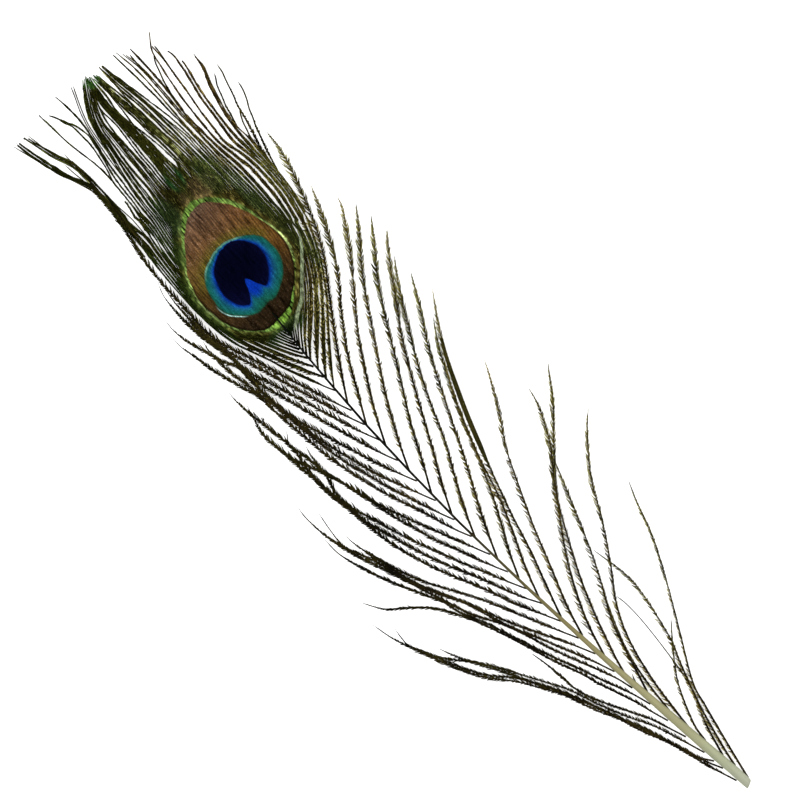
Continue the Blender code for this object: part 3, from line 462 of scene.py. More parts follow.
    (1, 0.4, ((19.3, 250), (19.7, 255), (20.1, 260), (20.7, 265), (21.2, 270), (22.1, 275), (23.3, 280.5),
     (23.6, 282.5), (23.6, 284.5))),
    (2, 0.7, ((20.9, 250), (21.6, 254), (22.2, 258), (22.6, 262), (23.3, 264.5), (23.9, 267), (24.7, 270),
     (25.3, 272), (26.15, 274), (26.9, 276), (27.4, 278), (27.8, 282.5))),
)

# Strands of the crown that stand apart from the rest: width at the root, path
CROWN_STRANDS = (
    (0.45, ((-26, 246), (-25, 255), (-24, 263), (-23.8, 270), (-24.4, 273), (-26.5, 279), (-28, 283),
     (-29.4, 287.5), (-31, 293), (-33, 300))),
    (0.45, ((-24.8, 243), (-24.2, 255), (-23.2, 263), (-22.6, 270), (-22.4, 276), (-22.6, 281),
     (-23.8, 284.5), (-25.2, 288), (-26, 291.5), (-26.5, 295), (-27.3, 299.5))),
    (0.45, ((-23.6, 244), (-23, 255), (-22.4, 263), (-21.8, 270), (-21.7, 276), (-22.6, 281.5), (-24, 285),
     (-25.4, 289), (-26.8, 294), (-29.1, 299.2))),
    (0.4, ((-24.6, 250), (-23.9, 258), (-23.4, 266), (-23.8, 275), (-24.5, 280), (-24.9, 284.5))),
    (0.4, ((-23.8, 250), (-23.2, 258), (-22.8, 267), (-22.8, 276), (-22.7, 283), (-22.8, 287))),
    (0.35, ((-21.4, 247), (-21, 255), (-21, 258), (-21.4, 262), (-22, 267))),
    (0.3, ((-14.2, 269), (-13.5, 276), (-12.8, 281), (-12.2, 285), (-11.5, 288.5), (-10.5, 292), (-9.3, 295),
     (-8, 298), (-6.8, 301.2))),
    (0.25, ((-12.6, 276), (-12, 282), (-11.3, 287), (-10.2, 291), (-8.4, 295.6), (-6.2, 300.6))),
    (0.25, ((12.8, 285), (12.9, 289), (12.9, 292), (13.1, 295.5))),
    (0.35, ((13.6, 274), (14, 277), (14.6, 279), (15.1, 281.5), (15.7, 283.5), (16.4, 285.5), (17.2, 288),
     (18.2, 289.8), (18.7, 290.5))),
    (0.3, ((19.6, 285), (20.1, 288), (20.4, 290), (20.6, 292.5))),
    (0.35, ((22.3, 256), (23.5, 260.5), (24.2, 263.5), (25.3, 266.5), (26.5, 270), (27.5, 271.6),
     (28.5, 273.5))),
    (0.5, ((22.4, 240), (23.3, 247), (24.2, 250), (24.8, 252), (25.3, 254), (26.1, 257), (26.6, 259.5),
     (27.2, 262), (28, 264), (28.9, 267), (29.8, 270), (30.5, 272), (31, 275.5))),
    (0.45, ((22.6, 243), (22.8, 247), (23.3, 251.5), (23.9, 253.5), (24.6, 256), (25.5, 258), (26.6, 260))),
    (0.45, ((22.4, 238), (23.7, 243), (24.2, 245), (24.9, 247), (25.6, 249), (26.2, 251), (27.1, 253.5),
     (28, 255.5), (28.9, 258), (30, 260), (30.7, 261.5), (31.6, 264), (32.1, 267))),
)
CROWN_SEED = 53

# Outlines of the eye's markings, and the span that no outline's distance from its middle passes
OUTLINE_SPAN = 32.0
PUPIL_MIDDLE = (-7.6, 222.5)
PUPIL_OUTLINE = (
    (-6.2, 231.3), (-8.5, 231), (-10, 230.2), (-11.6, 229.4), (-13.2, 228), (-14.4, 226), (-15.2, 223.8),
    (-15.7, 222), (-16, 220.4), (-15.6, 218), (-15, 216), (-14.1, 214.6), (-13, 213.6), (-11.8, 213.3),
    (-10.8, 214.2), (-9.7, 215.8), (-9, 217.4), (-8.4, 219), (-7.7, 219.8), (-6.9, 218.6), (-6.2, 216.8),
    (-5.2, 215), (-4.3, 214.1), (-3.4, 214.4), (-2, 215.6), (-0.6, 217), (0.6, 219), (1.6, 221.2),
    (1.8, 223.6), (1.6, 225.4), (0.8, 227), (-0.2, 228.8), (-1.6, 230.2), (-3.4, 231.2),
)
EYE_MIDDLE = (-7.0, 221.0)
DISC_OUTLINE = (
    (-4.5, 232.3), (-2.4, 231.6), (0, 230.6), (2.2, 229.2), (3.9, 227.6), (5, 225.9), (5.4, 224.2),
    (5.5, 222.4), (5.6, 220), (5.2, 218), (4.4, 216), (3, 214), (1, 212.2), (-1.2, 210.8), (-3.4, 209.6),
    (-5, 209.2), (-7.2, 209.5), (-9.4, 209.3), (-11.4, 209.2), (-13.2, 209.7), (-14.6, 210.6), (-15.8, 211.6),
    (-17.8, 213.6), (-19, 215.2), (-19.9, 218), (-19.6, 221), (-19.4, 223.2), (-18.8, 225.2), (-18.2, 226.6),
    (-17, 228.2), (-15.4, 229.8), (-13, 231.1), (-11.2, 231.8), (-9.2, 232.4), (-6.8, 232.6),
)
BRONZE_OUTLINE = (
    (-4, 246.3), (-1.8, 246), (0.3, 244.5), (2.2, 242.4), (4.1, 240), (5.5, 237.2), (6.8, 234), (8, 229.8),
    (8.9, 226), (9.2, 221.8), (8.7, 218.3), (7.4, 215.1), (5.6, 212.2), (3.7, 209.9), (1.7, 208.2), (0, 207),
    (-3, 204.8), (-5.9, 204.1), (-8.5, 203.9), (-11.1, 203.6), (-13.6, 204), (-15.4, 205.2), (-17.4, 207),
    (-19.3, 209.4), (-20.7, 212), (-21.8, 215.1), (-22.3, 218.6), (-22.6, 222), (-22.5, 225.7),
    (-21.6, 228.5), (-20.7, 231), (-19.9, 233), (-18.1, 235.1), (-16.3, 237.4), (-14.4, 240), (-12.1, 242.4),
    (-9.7, 244.5), (-7.2, 245.8),
)
RING_OUTLINE = (
    (-3.5, 249.5), (-2, 248.5), (0, 247.6), (2.2, 245.8), (4.3, 243.5), (6.2, 240.7), (7.3, 238.2),
    (8.3, 234.4), (9.4, 229.5), (10.2, 226), (10.6, 221.5), (10, 218), (8.7, 214.4), (6.7, 211.6),
    (3.6, 208.5), (0.8, 206), (-1.3, 204), (-4.1, 202.2), (-8.5, 200.8), (-13, 201.8), (-16, 204.6),
    (-18.5, 207), (-20.7, 209.5), (-22.3, 212.7), (-23.5, 217), (-24, 220.7), (-23.9, 225), (-23.2, 227.8),
    (-22.1, 231.3), (-21.3, 233.3), (-19.5, 235.5), (-18.1, 237.2), (-16.5, 239.7), (-14.6, 242.1),
    (-12.5, 244.6), (-10, 247), (-7.6, 248.6), (-5.5, 249.2),
)
# Oval in which the vane is closed, and the one above the ring in which it is nearly so: middle, size
CLOSED_OVAL = ((-6.0, 225.5), (19.0, 25.5))
UPPER_OVAL = ((-1.5, 251.0), (17.0, 11.0))

# White gaps between the eye's barbs beside the closed part: half width, path
SLITS = (
    (0.3, ((11.4, 221), (12.2, 226), (13, 231), (13.5, 236), (13.4, 242), (13, 249))),
    (0.35, ((14.4, 219.5), (17, 225), (19, 230), (20, 235), (20.4, 240), (20.2, 246))),
    (0.7, ((14.8, 229), (15.3, 235), (16, 241), (16.6, 248))),
    (0.3, ((-20.9, 236), (-20.4, 242), (-20, 248))),
    (0.25, ((-19, 238), (-18.2, 246))),
    (0.3, ((-24.4, 206), (-23.5, 202), (-21, 198.5), (-17.5, 192))),
)
SLIT_REACH = 1.6

# Evens out the eye's own colours under the bright studio light
EYE_LIFT = 0.8
# Green and olive patches of the vane outside the ring: middle, size, colour, strength
EYE_PATCHES = (
    ((0.2, 250.0), (6.0, 4.0), (104, 88, 56), 0.75),
    ((-3.0, 257.5), (2.6, 4.6), (34, 86, 46), 0.85),
    ((-12.5, 250.0), (4.0, 7.5), (54, 80, 44), 0.6),
    ((6.5, 251.5), (4.2, 7.0), (64, 84, 42), 0.55),
    ((10.8, 240.0), (2.2, 9.0), (56, 78, 42), 0.6),
    ((-9.0, 199.5), (7.0, 3.0), (52, 78, 36), 0.75),
    ((-2.9, 268.0), (1.8, 20.0), (62, 64, 22), 0.85),
    ((-1.2, 298.2), (3.0, 3.0), (78, 138, 60), 0.6),
    ((-25.0, 222.0), (3.4, 26.0), (52, 70, 28), 0.75),
    ((-18.5, 243.0), (3.0, 9.0), (62, 84, 38), 0.6),
    ((21.0, 228.0), (3.0, 22.0), (108, 108, 44), 0.6),
    ((13.5, 222.0), (3.0, 20.0), (64, 76, 36), 0.6),
)
# Green of the ring from the left round by the bottom, and the shaft's colours up to the eye
# The pale stop at 0.5, on the ring's right, is its green with a painted highlight
RING_STOPS = (
    (0.0, (156, 174, 112)), (0.06, (134, 160, 90)), (0.12, (118, 146, 76)), (0.2, (110, 144, 66)),
    (0.24, (112, 150, 54)), (0.3, (96, 136, 56)), (0.36, (92, 104, 42)), (0.42, (120, 144, 66)),
    (0.5, (172, 190, 120)), (0.6, (108, 132, 64)), (0.74, (84, 112, 46)), (0.84, (92, 118, 56)),
    (0.93, (148, 174, 94)), (1.0, (156, 174, 112)),
)
SHAFT_COLOUR_LENGTH = 210.0
# Bronze from its foot upwards, and the pale flecks in it
BRONZE_FOOT_Y = 203.0
BRONZE_LENGTH = 45.0
BRONZE_STOPS = (
    (0.0, (36, 26, 14)), (0.14, (38, 28, 15)), (0.3, (64, 46, 22)), (0.45, (88, 66, 28)),
    (0.62, (94, 72, 32)), (0.75, (96, 68, 42)), (0.9, (92, 68, 50)), (1.0, (86, 70, 56)),
)
BRONZE_FLECK = (152, 122, 100)
# Blue from the pupil outwards; its deep notch and the pupil's darkest part: middle, size, softness
IRIS_STOPS = (
    (0.0, (4, 14, 58)), (0.1, (8, 42, 122)), (0.22, (16, 68, 134)), (0.36, (22, 80, 114)),
    (0.55, (20, 86, 94)), (0.85, (20, 84, 74)), (0.95, (22, 74, 56)), (1.0, (22, 50, 34)),
)
NOTCH = ((-7.6, 216.4), (2.4, 3.4), 0.9)
PUPIL_DEPTH = ((-7.5, 223.5), (8.0, 6.5), 0.8)
# Rim of the blue that catches the light: from and to across it, from and to round it, colour, strength
RIM_GLINTS = (
    (0.1, 0.3, 0.03, 0.135, (170, 222, 214), 0.75),
    (-0.5, 0.0, 0.65, 0.9, (92, 142, 124), 0.7),
)
# Barbs right of the eye that catch the light
BARB_GLINT = (
    (-7.6, 197), (-6.2, 198.5), (-4.2, 200.2), (-1.8, 201.8), (0.7, 203.3), (3, 205.7), (5.8, 208.7),
    (8.6, 211.7), (10.6, 214), (12.3, 216.2), (14.4, 219.5),
)
BARB_GLINT_HALF = 0.95
BARB_GLINT_COLOUR = (176, 192, 150)

# Studio, in metres
FLOOR_GAP = 0.00002
LAMP_PLACE = (-0.25, 0.35, 1.3)
LAMP_SIZE = 1.2
CAMERA_PLACE = (0.00596, 0.00982)
CAMERA_SENSOR = 36.0
CAMERA_CLIP = 0.01


def run_of(path):
    """Distance from a path's first point to each of its points."""
    return np.concatenate([[0.0], np.cumsum(np.linalg.norm(np.diff(path, axis=0), axis=1))])


def even_path(points, step=None, count=None):
    """Points an even step apart on a smooth curve through the given ones."""
    corners = np.array(points, float)
    corners = np.vstack([2 * corners[0] - corners[1], corners, 2 * corners[-1] - corners[-2]])
    t = np.linspace(0, 1, CURVE_PARTS, endpoint=False)[:, None]
    parts = [
        0.5 * (2 * b + (c - a) * t + (2 * a - 5 * b + 4 * c - d) * t**2 + (3 * b - a - 3 * c + d) * t**3)
        for a, b, c, d in zip(corners, corners[1:], corners[2:], corners[3:])
    ]
    dense = np.vstack([*parts, corners[-2:-1]])
    run = run_of(dense)
    count = count or max(3, round(run[-1] / step)) + 1
    at = np.linspace(0, run[-1], count)
    return np.column_stack([np.interp(at, run, dense[:, k]) for k in (0, 1)])


def smoothstep(low, high, value):
    """Smooth step from 0 to 1 as the value goes from low to high."""
    share = np.clip((value - low) / (high - low), 0, 1)
    return share * share * (3 - 2 * share)


def table_at(table, place):
    """Value at a place, from a table of places and values."""
    return np.interp(place, *zip(*table))


def arch(y):
    """Height of the shaft's underside above the floor."""
    share = np.clip((y - QUILL_END_Y) / (CROWN_TIP_Y - QUILL_END_Y), 0, 1)
    return ARCH_HEIGHT * np.sin(np.pi * share) ** ARCH_SHARPNESS


def shaft_at(y):
    """Sideways place, width and height of the shaft at distances along the feather."""
    middle, width = (np.interp(y, SHAFT[:, 0], SHAFT[:, k]) for k in (1, 2))
    return middle, width, np.maximum(width * SHAFT_FLATNESS, SHAFT_LEAST_HEIGHT)


def raise_path(flat, height):
    """A flat path laid at a height above the feather's underside, which droops to the floor far out."""
    x, y = flat.T
    reach = np.abs(x - shaft_at(y)[0]) / DROOP_REACH
    underside = arch(y) * np.clip(1 - reach**DROOP_POWER, 0, None)
    return np.column_stack([flat, underside + height])


def right_of(ahead):
    """Level unit vectors to the right of directions."""
    aside = np.column_stack([ahead[:, 1], -ahead[:, 0], np.zeros(len(ahead))])
    return aside / (np.linalg.norm(aside, axis=1, keepdims=True) + 1e-9)


def axes_of(path):
    """Unit vectors along, to the right of and up from each point of a path."""
    along = np.gradient(path, axis=0)
    along /= np.linalg.norm(along, axis=1, keepdims=True)
    aside = right_of(along)
    return along, aside, np.cross(aside, along)


def along_path(path, at):
    """Points, directions and right-hand sides of a path at distances from its start."""
    run = run_of(path)
    along, aside, _ = axes_of(path)
    return [np.column_stack([np.interp(at, run, part[:, k]) for k in range(3)]) for part in (path, along, aside)]


class Strands:
    """Points, triangles and point values of one piece, gathered strand by strand."""

    def __init__(self):
        self.points, self.faces, self.values, self.count = [], [], [], 0

    def add(self, points, faces, *values):
        """Adds rows of points and their faces. Each point value fits those rows."""
        table = np.empty((*points.shape[:2], len(VALUES)))
        for k, value in enumerate(values):
            table[..., k] = value
        self.points.append(points.reshape(-1, 3))
        self.faces.append(faces.reshape(-1, 3) + self.count)
        self.values.append(table.reshape(-1, len(VALUES)))
        self.count += points.shape[0] * points.shape[1]

    def skin(self, rings, *values):
        """Closed skin over rings of points."""
        rows, sides = rings.shape[:2]
        starts = np.arange(rows - 1)[:, None] * sides
        near = (starts + np.arange(sides)).ravel()
        turned = (starts + np.roll(np.arange(sides), -1)).ravel()
        fan = np.arange(1, sides - 1)
        last = (rows - 1) * sides
        self.add(rings, np.vstack([
            np.column_stack([near, near + sides, turned + sides]),
            np.column_stack([near, turned + sides, turned]),
            np.column_stack([0 * fan, fan, fan + 1]),
            np.column_stack([0 * fan + last, last + fan + 1, last + fan]),
        ]), *values)

    def tube(self, path, half_wide, half_high, sides, tone, shift=0.0, green=0.0, roll=0.0, edge=0.8):
        """Closed tube with an oval section, or a flat blade whose edge values go round its 4 sides."""
        _, aside, up = axes_of(path)
        start = 0.0 if np.ndim(edge) else 0.5
        turn = 2 * np.pi * (np.arange(sides) + start) / sides
        half_wide, half_high, tone, green, roll = (
            np.broadcast_to(value, len(path))[:, None] for value in (half_wide, half_high, tone, green, roll)
        )
        across, over = half_wide * np.cos(turn), half_high * np.sin(turn)
        wide = across * np.cos(roll) - over * np.sin(roll)
        high = across * np.sin(roll) + over * np.cos(roll)
        rings = path[:, None] + aside[:, None] * wide[..., None] + up[:, None] * high[..., None]
        self.skin(rings, tone, edge, shift, green)

    def spread(self, points, faces, tones, tone, green):
        """Many spikes of one form, one row of points each."""
        starts = np.arange(len(points))[:, None, None] * points.shape[1]
        green = np.broadcast_to(green, len(points))[:, None]
        self.add(points, starts + faces, np.outer(tone, tones), SPIKE_EDGE, 0.0, green)

    def spikes(self, root, middle, tip, wide, tone, green):
        """Fine closed spikes that bend once, at their middle."""
        corners = []
        for spot, ahead, share in ((root, middle - root, SPIKE_ROOT_WIDTH), (middle, tip - middle, 1.0)):
            ahead = ahead / np.linalg.norm(ahead, axis=1, keepdims=True)
            aside = right_of(ahead)
            half = (wide * share / 2)[:, None]
            up = np.cross(aside, ahead) * half * SPIKE_HEIGHT
            corners += [spot + aside * half, spot + up, spot - aside * half]
        self.spread(np.stack([*corners, tip], axis=1), SPIKE_FACES, SPIKE_TONES, tone, green)

    def needles(self, root, tip, wide, tone, green):
        """Fine closed straight spikes of four faces."""
        half = (wide / 2)[:, None]
        aside, up = right_of(tip - root) * half, np.array([0.0, 0.0, 1.0]) * half
        points = np.stack([root + aside, root + up, root - aside, tip], axis=1)
        self.spread(points, NEEDLE_FACES, NEEDLE_TONES, tone, green)


def strayed(start, end, gap, stray, rng):
    """Places a gap apart, each moved by up to a share of it."""
    at = np.arange(start, end, gap)
    return at + rng.uniform(-stray, stray, len(at)) * gap


def tuft_ends(start, end, lengths, rng):
    """Where each tuft of barbules ends along a barb."""
    return start - 1 + np.cumsum(rng.uniform(*lengths, int((end - start) / lengths[0]) + 3))


def tuft_looks(count, reaches, lifts, rng):
    """Tone, reach and lift of each tuft."""
    return rng.random(count), rng.uniform(*reaches, count), rng.uniform(*lifts, count)


def barbules(strands, path, side, reach, start, end, rng, sizes, light, green, taper=12.0, close=0.0,
             draws=(0.55, 0.85), gap=1.0, fine=1.0):
    """Barbules on one side of a barb (1 right, -1 left), in tufts that draw together at their tips."""
    gap = sizes.barbule_gap / MM * gap
    if end - start < 2 * gap:
        return
    run = run_of(path)
    at = strayed(start, end, gap, 0.35, rng)
    left = np.clip((end - at) / taper, 0, 1)
    fill = (0.25 + 0.75 * smoothstep(start - 1, start + 6, at)) * (0.12 + 0.88 * left**0.8)
    edges = np.concatenate([[start - 1], tuft_ends(start, end, TUFT_LENGTHS, rng)])
    tuft = np.clip(np.searchsorted(edges, at), 1, len(edges) - 1)
    begin = edges[tuft - 1]
    within = np.clip(1 - (at - begin) / (edges[tuft] - begin), 0, 1)
    at = np.maximum(begin + (at - begin) * 0.8, start)
    tones, reaches, lifts = tuft_looks(len(edges), TUFT_REACHES, TUFT_LIFTS, rng)
    reach = np.interp(at, run, np.broadcast_to(reach, len(path)))
    reach = sizes.barbule_length / MM * reach * fill * reaches[tuft]
    spot, ahead, out = along_path(path, at)
    out = out * side
    length = reach * rng.uniform(0.75, 1.15, len(at))
    length = np.maximum(length * (1 - 0.35 * rng.random(len(at)) ** 2), SHORTEST_BARBULE)
    lean = (LEAN + rng.uniform(-LEAN_STRAY, LEAN_STRAY, len(edges)))[tuft]
    lean = np.radians(lean * (1 - close) + CLOSE_LEAN * close)[:, None]
    middle, tip = (
        (ahead * np.cos(angle) + out * np.sin(angle)) * (length * 0.5)[:, None] for angle in (lean, lean * 0.55)
    )
    middle = spot + middle
    tip = middle + tip
    reach, angle = reach * 0.95, lean[:, 0] * 0.8
    meet, _, meet_out = along_path(path, np.minimum(begin + 0.2 + reach * np.cos(angle), end + 0.6))
    meet += meet_out * side * (reach * np.sin(angle))[:, None]
    draw = (rng.uniform(*draws, len(at)) * (length > 0.5) * (1 - 0.5 * close))[:, None]
    tip = tip * (1 - draw) + meet * draw
    middle = middle * (1 - draw * 0.3) + (spot + meet) / 2 * draw * 0.3
    middle[:, 2] += lifts[tuft] * 0.6
    tip[:, 2] += lifts[tuft] + rng.normal(0, 0.06, len(at))
    for part in (middle, tip):
        part[:, 2] = np.maximum(part[:, 2], LEAST_HEIGHT)
    light = np.interp(at, run, np.broadcast_to(light, len(path)))
    # Painted shade darkens each tuft towards its end; each tuft also gets its own random lightness, partly
    # painted highlight
    light = light * ((0.15 + 0.85 * within) * (0.35 + 0.65 * tones[tuft]))
    tone = np.clip(light + rng.normal(0, 0.1, len(at)), 0.03, 1.0)
    wide = fine * sizes.barbule_width / MM * rng.uniform(0.7, 1.2, len(at)) * np.clip(0.5 + fill * 0.6, 0, 1)
    strands.spikes(spot, middle, tip, wide, tone, green)


def cling(strands, path, side, reach, start, end, rng, light, green):
    """Barbules that lie close along one side of a barb of the eye, in tufts: reach is how far out they come."""
    if end - start < 2 * CLING_GAP:
        return
    run = run_of(path)
    at = strayed(start, end, CLING_GAP, 0.4, rng)
    edges = tuft_ends(start, end, CLING_LENGTHS, rng)
    tuft = np.minimum(np.searchsorted(edges, at), len(edges) - 1)
    within = np.clip(edges[tuft] - at, 0, 1)
    tones, reaches, lifts = tuft_looks(len(edges), CLING_REACHES, CLING_LIFTS, rng)
    spot, ahead, out = along_path(path, at)
    spread = np.interp(at, run, reach) * reaches[tuft] * rng.uniform(0.6, 1.1, len(at))
    length = rng.uniform(0.7, 1.3, len(at))[:, None]
    tip = spot + ahead * length + out * side * spread[:, None]
    spot[:, 2] += 0.04
    tip[:, 2] = np.maximum(tip[:, 2] + lifts[tuft] + rng.normal(0, 0.05, len(at)), LEAST_HEIGHT)
    # Painted shade darkens each tuft towards its end; each tuft also gets its own random lightness, partly
    # painted highlight
    light = np.interp(at, run, light) * ((0.15 + 0.85 * within) * (0.3 + 0.7 * tones[tuft]))
    tone = np.clip(light + rng.normal(0, 0.08, len(at)), 0.02, 1.0)
    wide = rng.uniform(0.24, 0.4, len(at)) * np.clip(spread / 0.35, 0.6, 1.1)
    strands.needles(spot, tip, wide, tone, np.interp(at, run, green) * rng.uniform(0.7, 1.2, len(at)))


def loose_barb(strands, row, look, rng, sizes):
    """One loose barb: its own fine dark shaft, bare near the root, with barbules along both sides."""
    width, bare, fuzz_end, points = row
    height = rng.uniform(0.05, 0.5)
    flat = even_path(points, BARB_STEP)
    x, y = flat.T
    run = run_of(flat)
    total, share, root_y = run[-1], run / run[-1], y[0]
    lift = 0.35 * shaft_at(root_y)[2] * np.clip(1 - share / 0.25, 0, None) ** 2
    path = raise_path(flat, height * smoothstep(0, 0.08, share) + lift + 0.15)
    past = np.nonzero(y >= fuzz_end)[0]
    end = run[past[0]] if len(past) else total

    thick = sizes.barb_width / MM / 2 * (1.1 - 0.85 * share) * look.core
    thinnest = 0.19 if root_y < LOW_ROOT_Y else 0.14
    thick = np.maximum(thick, thinnest * np.clip((1 - share) / 0.02, 0.1, 1))
    green = np.clip(rng.normal(0.3, 0.15), 0, 1) * (0.3 + 0.7 * share)
    if look is RIGHT_LOOK:
        light = table_at(RIGHT_LIGHT, x) + (table_at(LOW_LIGHT, y) - 0.9) + 0.7 * smoothstep(0.8, 1, share)
    else:
        light = table_at(LEFT_LIGHT, y)
    tip_light = 0.1 if len(past) or root_y < LOW_ROOT_Y else 0.6
    tone = 0.02 + 0.06 * rng.random() + tip_light * np.clip(light - 0.6, 0, 1.2) * share**4
    strands.tube(path, thick, thick * 0.7, 5, np.clip(tone, 0, 1), green=green)

    bare = bare * look.bare
    at = np.arange(bare, end - 0.8, 0.8)
    if len(at) > 3:
        spot, _, out = along_path(path, at)
        spot += out * look.fuller * 0.08 + [0.0, 0.0, 0.05]
        filled = smoothstep(-1, 9, at - bare) * np.clip((end - at) / 9, 0.05, 1) ** 0.7
        blade = width * (look.low_blade if root_y < QUILL_ROOT_Y else look.blade)
        half = blade * filled * rng.uniform(0.6, 1.3, len(at))
        tone = np.interp(at, run_of(path), light) * rng.uniform(0.02, 0.42, len(at))
        strands.tube(spot, half, 0.05, 4, tone, green=0.4, roll=rng.normal(0, 0.2, len(at)))

    tinge = 0.2 + 0.35 * rng.random()
    upper = smoothstep(70, 110, root_y)
    low = look.low_reach + (1 - look.low_reach) * smoothstep(40, 90, root_y)
    divided, change, done = look.shorter
    divided = divided + change * smoothstep(110, done, y)
    reach = low * width / (divided * (1 - look.tip_reach * upper * smoothstep(0.45, 0.75, share)))
    closer = bare + CLOSER_SHARE * (end - bare)
    own = {"draws": look.draws, "gap": look.gap, "fine": look.fine[0] + look.fine[1] * upper}
    for side in (1, -1):
        full = side == look.fuller
        far = reach * (1.0 if full else look.other_side[0] + look.other_side[1] * upper)
        glow = light * (1.15 if full else 0.85)
        barbules(strands, path, side, far, bare, closer + 2, rng, sizes, glow, tinge, taper=1.0, **own)
        barbules(strands, path, side, np.maximum(far, 0.5 * width), closer, min(end, total - 0.4), rng, sizes,
                 glow * 1.1, tinge + 0.25, close=0.3, **own)


def zipped_stretch(strands, points, start, end, half, rng):
    """Stretch of a barb whose barbules cling to it and to its neighbour, as one flat dark blade."""
    flat = even_path(points, BARB_STEP)
    flat = flat[(flat[:, 1] >= start) & (flat[:, 1] <= end)]
    share = np.linspace(0, 1, len(flat))
    full = smoothstep(0, 0.25, share) * (1 - 0.55 * smoothstep(0.55, 1, share))
    wide = half * np.sqrt(np.clip(full, 0.02, 1))
    path = raise_path(flat, 0.5)
    for step in (-0.5, 0.0, 0.5):
        lane = path + axes_of(path)[1] * (wide * step)[:, None]
        strands.tube(lane, wide * 0.42, 0.12, 6, 0.1 + 0.2 * rng.random(len(lane)), green=0.6)


def crown_strand(strands, row, rng, sizes):
    """One long strand of the crown, with sparse short barbules."""
    width, points = row
    flat = even_path(points, STRAND_STEP)
    total = run_of(flat)[-1]
    share = run_of(flat) / total
    path = raise_path(flat, (0.25 + rng.uniform(0, 0.3)) * smoothstep(0, 0.12, share) + 0.12)
    thinnest, reach, light, gap = (0.27, 0.5, 0.8, 0.5) if flat[0, 0] > 0 else (0.19, 0.18, 0.5, 0.5)
    thick = np.maximum(width * 0.6 * (1 - 0.45 * share), thinnest) * np.clip((1 - share) / 0.06, 0.15, 1)
    green = 0.4 + 0.4 * rng.random()
    tone = np.interp(share, np.linspace(0, 1, 12), rng.uniform(0.02, 0.4, 12))
    strands.tube(path, thick, thick * 0.7, 5, tone, green=green)
    for side in (1, -1):
        barbules(strands, path, side, reach, gap, total - 1, rng, sizes, light, green * 0.6, taper=30.0)


def shaft_skin(strands):
    """Shaft with its slanted hollow end, a groove beneath, and a taper that ends in the eye."""
    turn = 2 * np.pi * (np.arange(SHAFT_SIDES) + 0.5) / SHAFT_SIDES
    tip = SHAFT[-1, 0]
    rest = np.arange(CUT_LENGTH + SHAFT_STEP, tip - 1, SHAFT_STEP)
    y = np.concatenate([np.linspace(0, CUT_LENGTH, 9), rest, [tip]])
    middle, width, height = (part[:, None] for part in shaft_at(y))
    y = y[:, None]
    groove = np.exp(-((turn - 1.5 * np.pi) / GROOVE_ANGLE) ** 2) * smoothstep(*GROOVE_START, y)
    rise = height / 2 * SHAFT_FIT * np.sin(turn) + groove * height * GROOVE_DEPTH
    across = width / 2 * SHAFT_FIT * np.cos(turn)
    along = y + (CUT_SLANT * across - CUT_DEPTH) * (1 - smoothstep(0, CUT_LENGTH, y))
    rings = np.dstack([middle + across, along, arch(y) + height / 2 + rise])
    centre = rings[0].mean(axis=0)
    hollow = [centre + (rings[0] - centre) * share + [0.0, deep, 0.0] for deep, share in HOLLOW]
    # Edge value across the shaft, 1 on its right and 0 on its left, for its painted light and shade
    strands.skin(np.vstack([hollow, rings]), 0.0, 0.5 + 0.5 * np.cos(turn), 0.0, 0.0)


def eye_grid():
    """Every guide of the eye as the same number of even steps."""
    return np.array([even_path(guide, count=EYE_STEPS) for guide in EYE_GUIDES])


def on_grid(grid, places):
    """The path that keeps, at each step, its own place between the guides."""
    low = np.clip(places.astype(int), 0, len(grid) - 2)
    part = np.clip(places - low, 0, 1)[:, None]
    steps = np.arange(grid.shape[1])
    return grid[low, steps] * (1 - part) + grid[low + 1, steps] * part


def eye_places():
    """Where the eye's barbs lie between the guides, and the middle of the pair that each belongs to."""
    places = np.concatenate([k + (np.arange(count) + 0.5) / count for k, count in enumerate(EYE_COUNTS)])
    pairs = np.array([places[k // 2 * 2:k // 2 * 2 + 2].mean() for k in range(len(places))])
    return places, pairs


def crown_courses():
    """For each barb of the eye, left to right: its line in the crown, its offset from it and its width."""
    courses = []
    for count, width, points in CROWN_LINES:
        line = even_path(points, STRAND_STEP)
        courses += [(line, width * ((k + 0.5) / count - 0.5), width / count) for k in range(count)]
    return courses


def oval_distance(flat, middle, size):
    """Distance from an oval's middle, 1 on the oval."""
    return np.hypot(*((flat - middle) / size).T)


def polar(outline, middle):
    """Angle and distance of an outline's points from its middle, in order of angle."""
    return sorted((math.atan2(y - middle[1], x - middle[0]), math.dist((x, y), middle)) for x, y in outline)


def closed_share(flat):
    """How closed the vane is along a path: whether barbs are joined to their neighbours, as they are inside
    the ring, how nearly they are round it, and how much they run together by the shaft beneath it."""
    x, y = flat.T
    across, along = (flat - EYE_MIDDLE).T
    angles, reaches = zip(*polar(RING_OUTLINE, EYE_MIDDLE))
    beyond = np.hypot(across, along) / np.interp(np.arctan2(along, across), angles, reaches, period=2 * np.pi)
    far = 1.42 + 0.35 * smoothstep(4, 12, x) + 0.35 * smoothstep(206, 196, y)
    above = oval_distance(flat, *UPPER_OVAL)
    nearly = np.maximum(1 - smoothstep(1.05, far, beyond), 1 - smoothstep(0.6, 1.3, above))
    beside = smoothstep(-6, 0, x) * smoothstep(186, 196, y) * smoothstep(226, 214, y)
    return 1 - smoothstep(1.0, 1.1, beyond), nearly, beside


def drawn_places(place, pair, flat):
    """A barb's place at each step: near the shaft it runs beside the one that it is paired with."""
    _, nearly, beside = closed_share(flat)
    root = smoothstep(0.98, 1.15, oval_distance(flat, *CLOSED_OVAL)) * (flat[:, 1] < 222)
    return place + (pair - place) * 0.85 * np.maximum(root, beside * (1 - smoothstep(0.3, 0.9, nearly)))


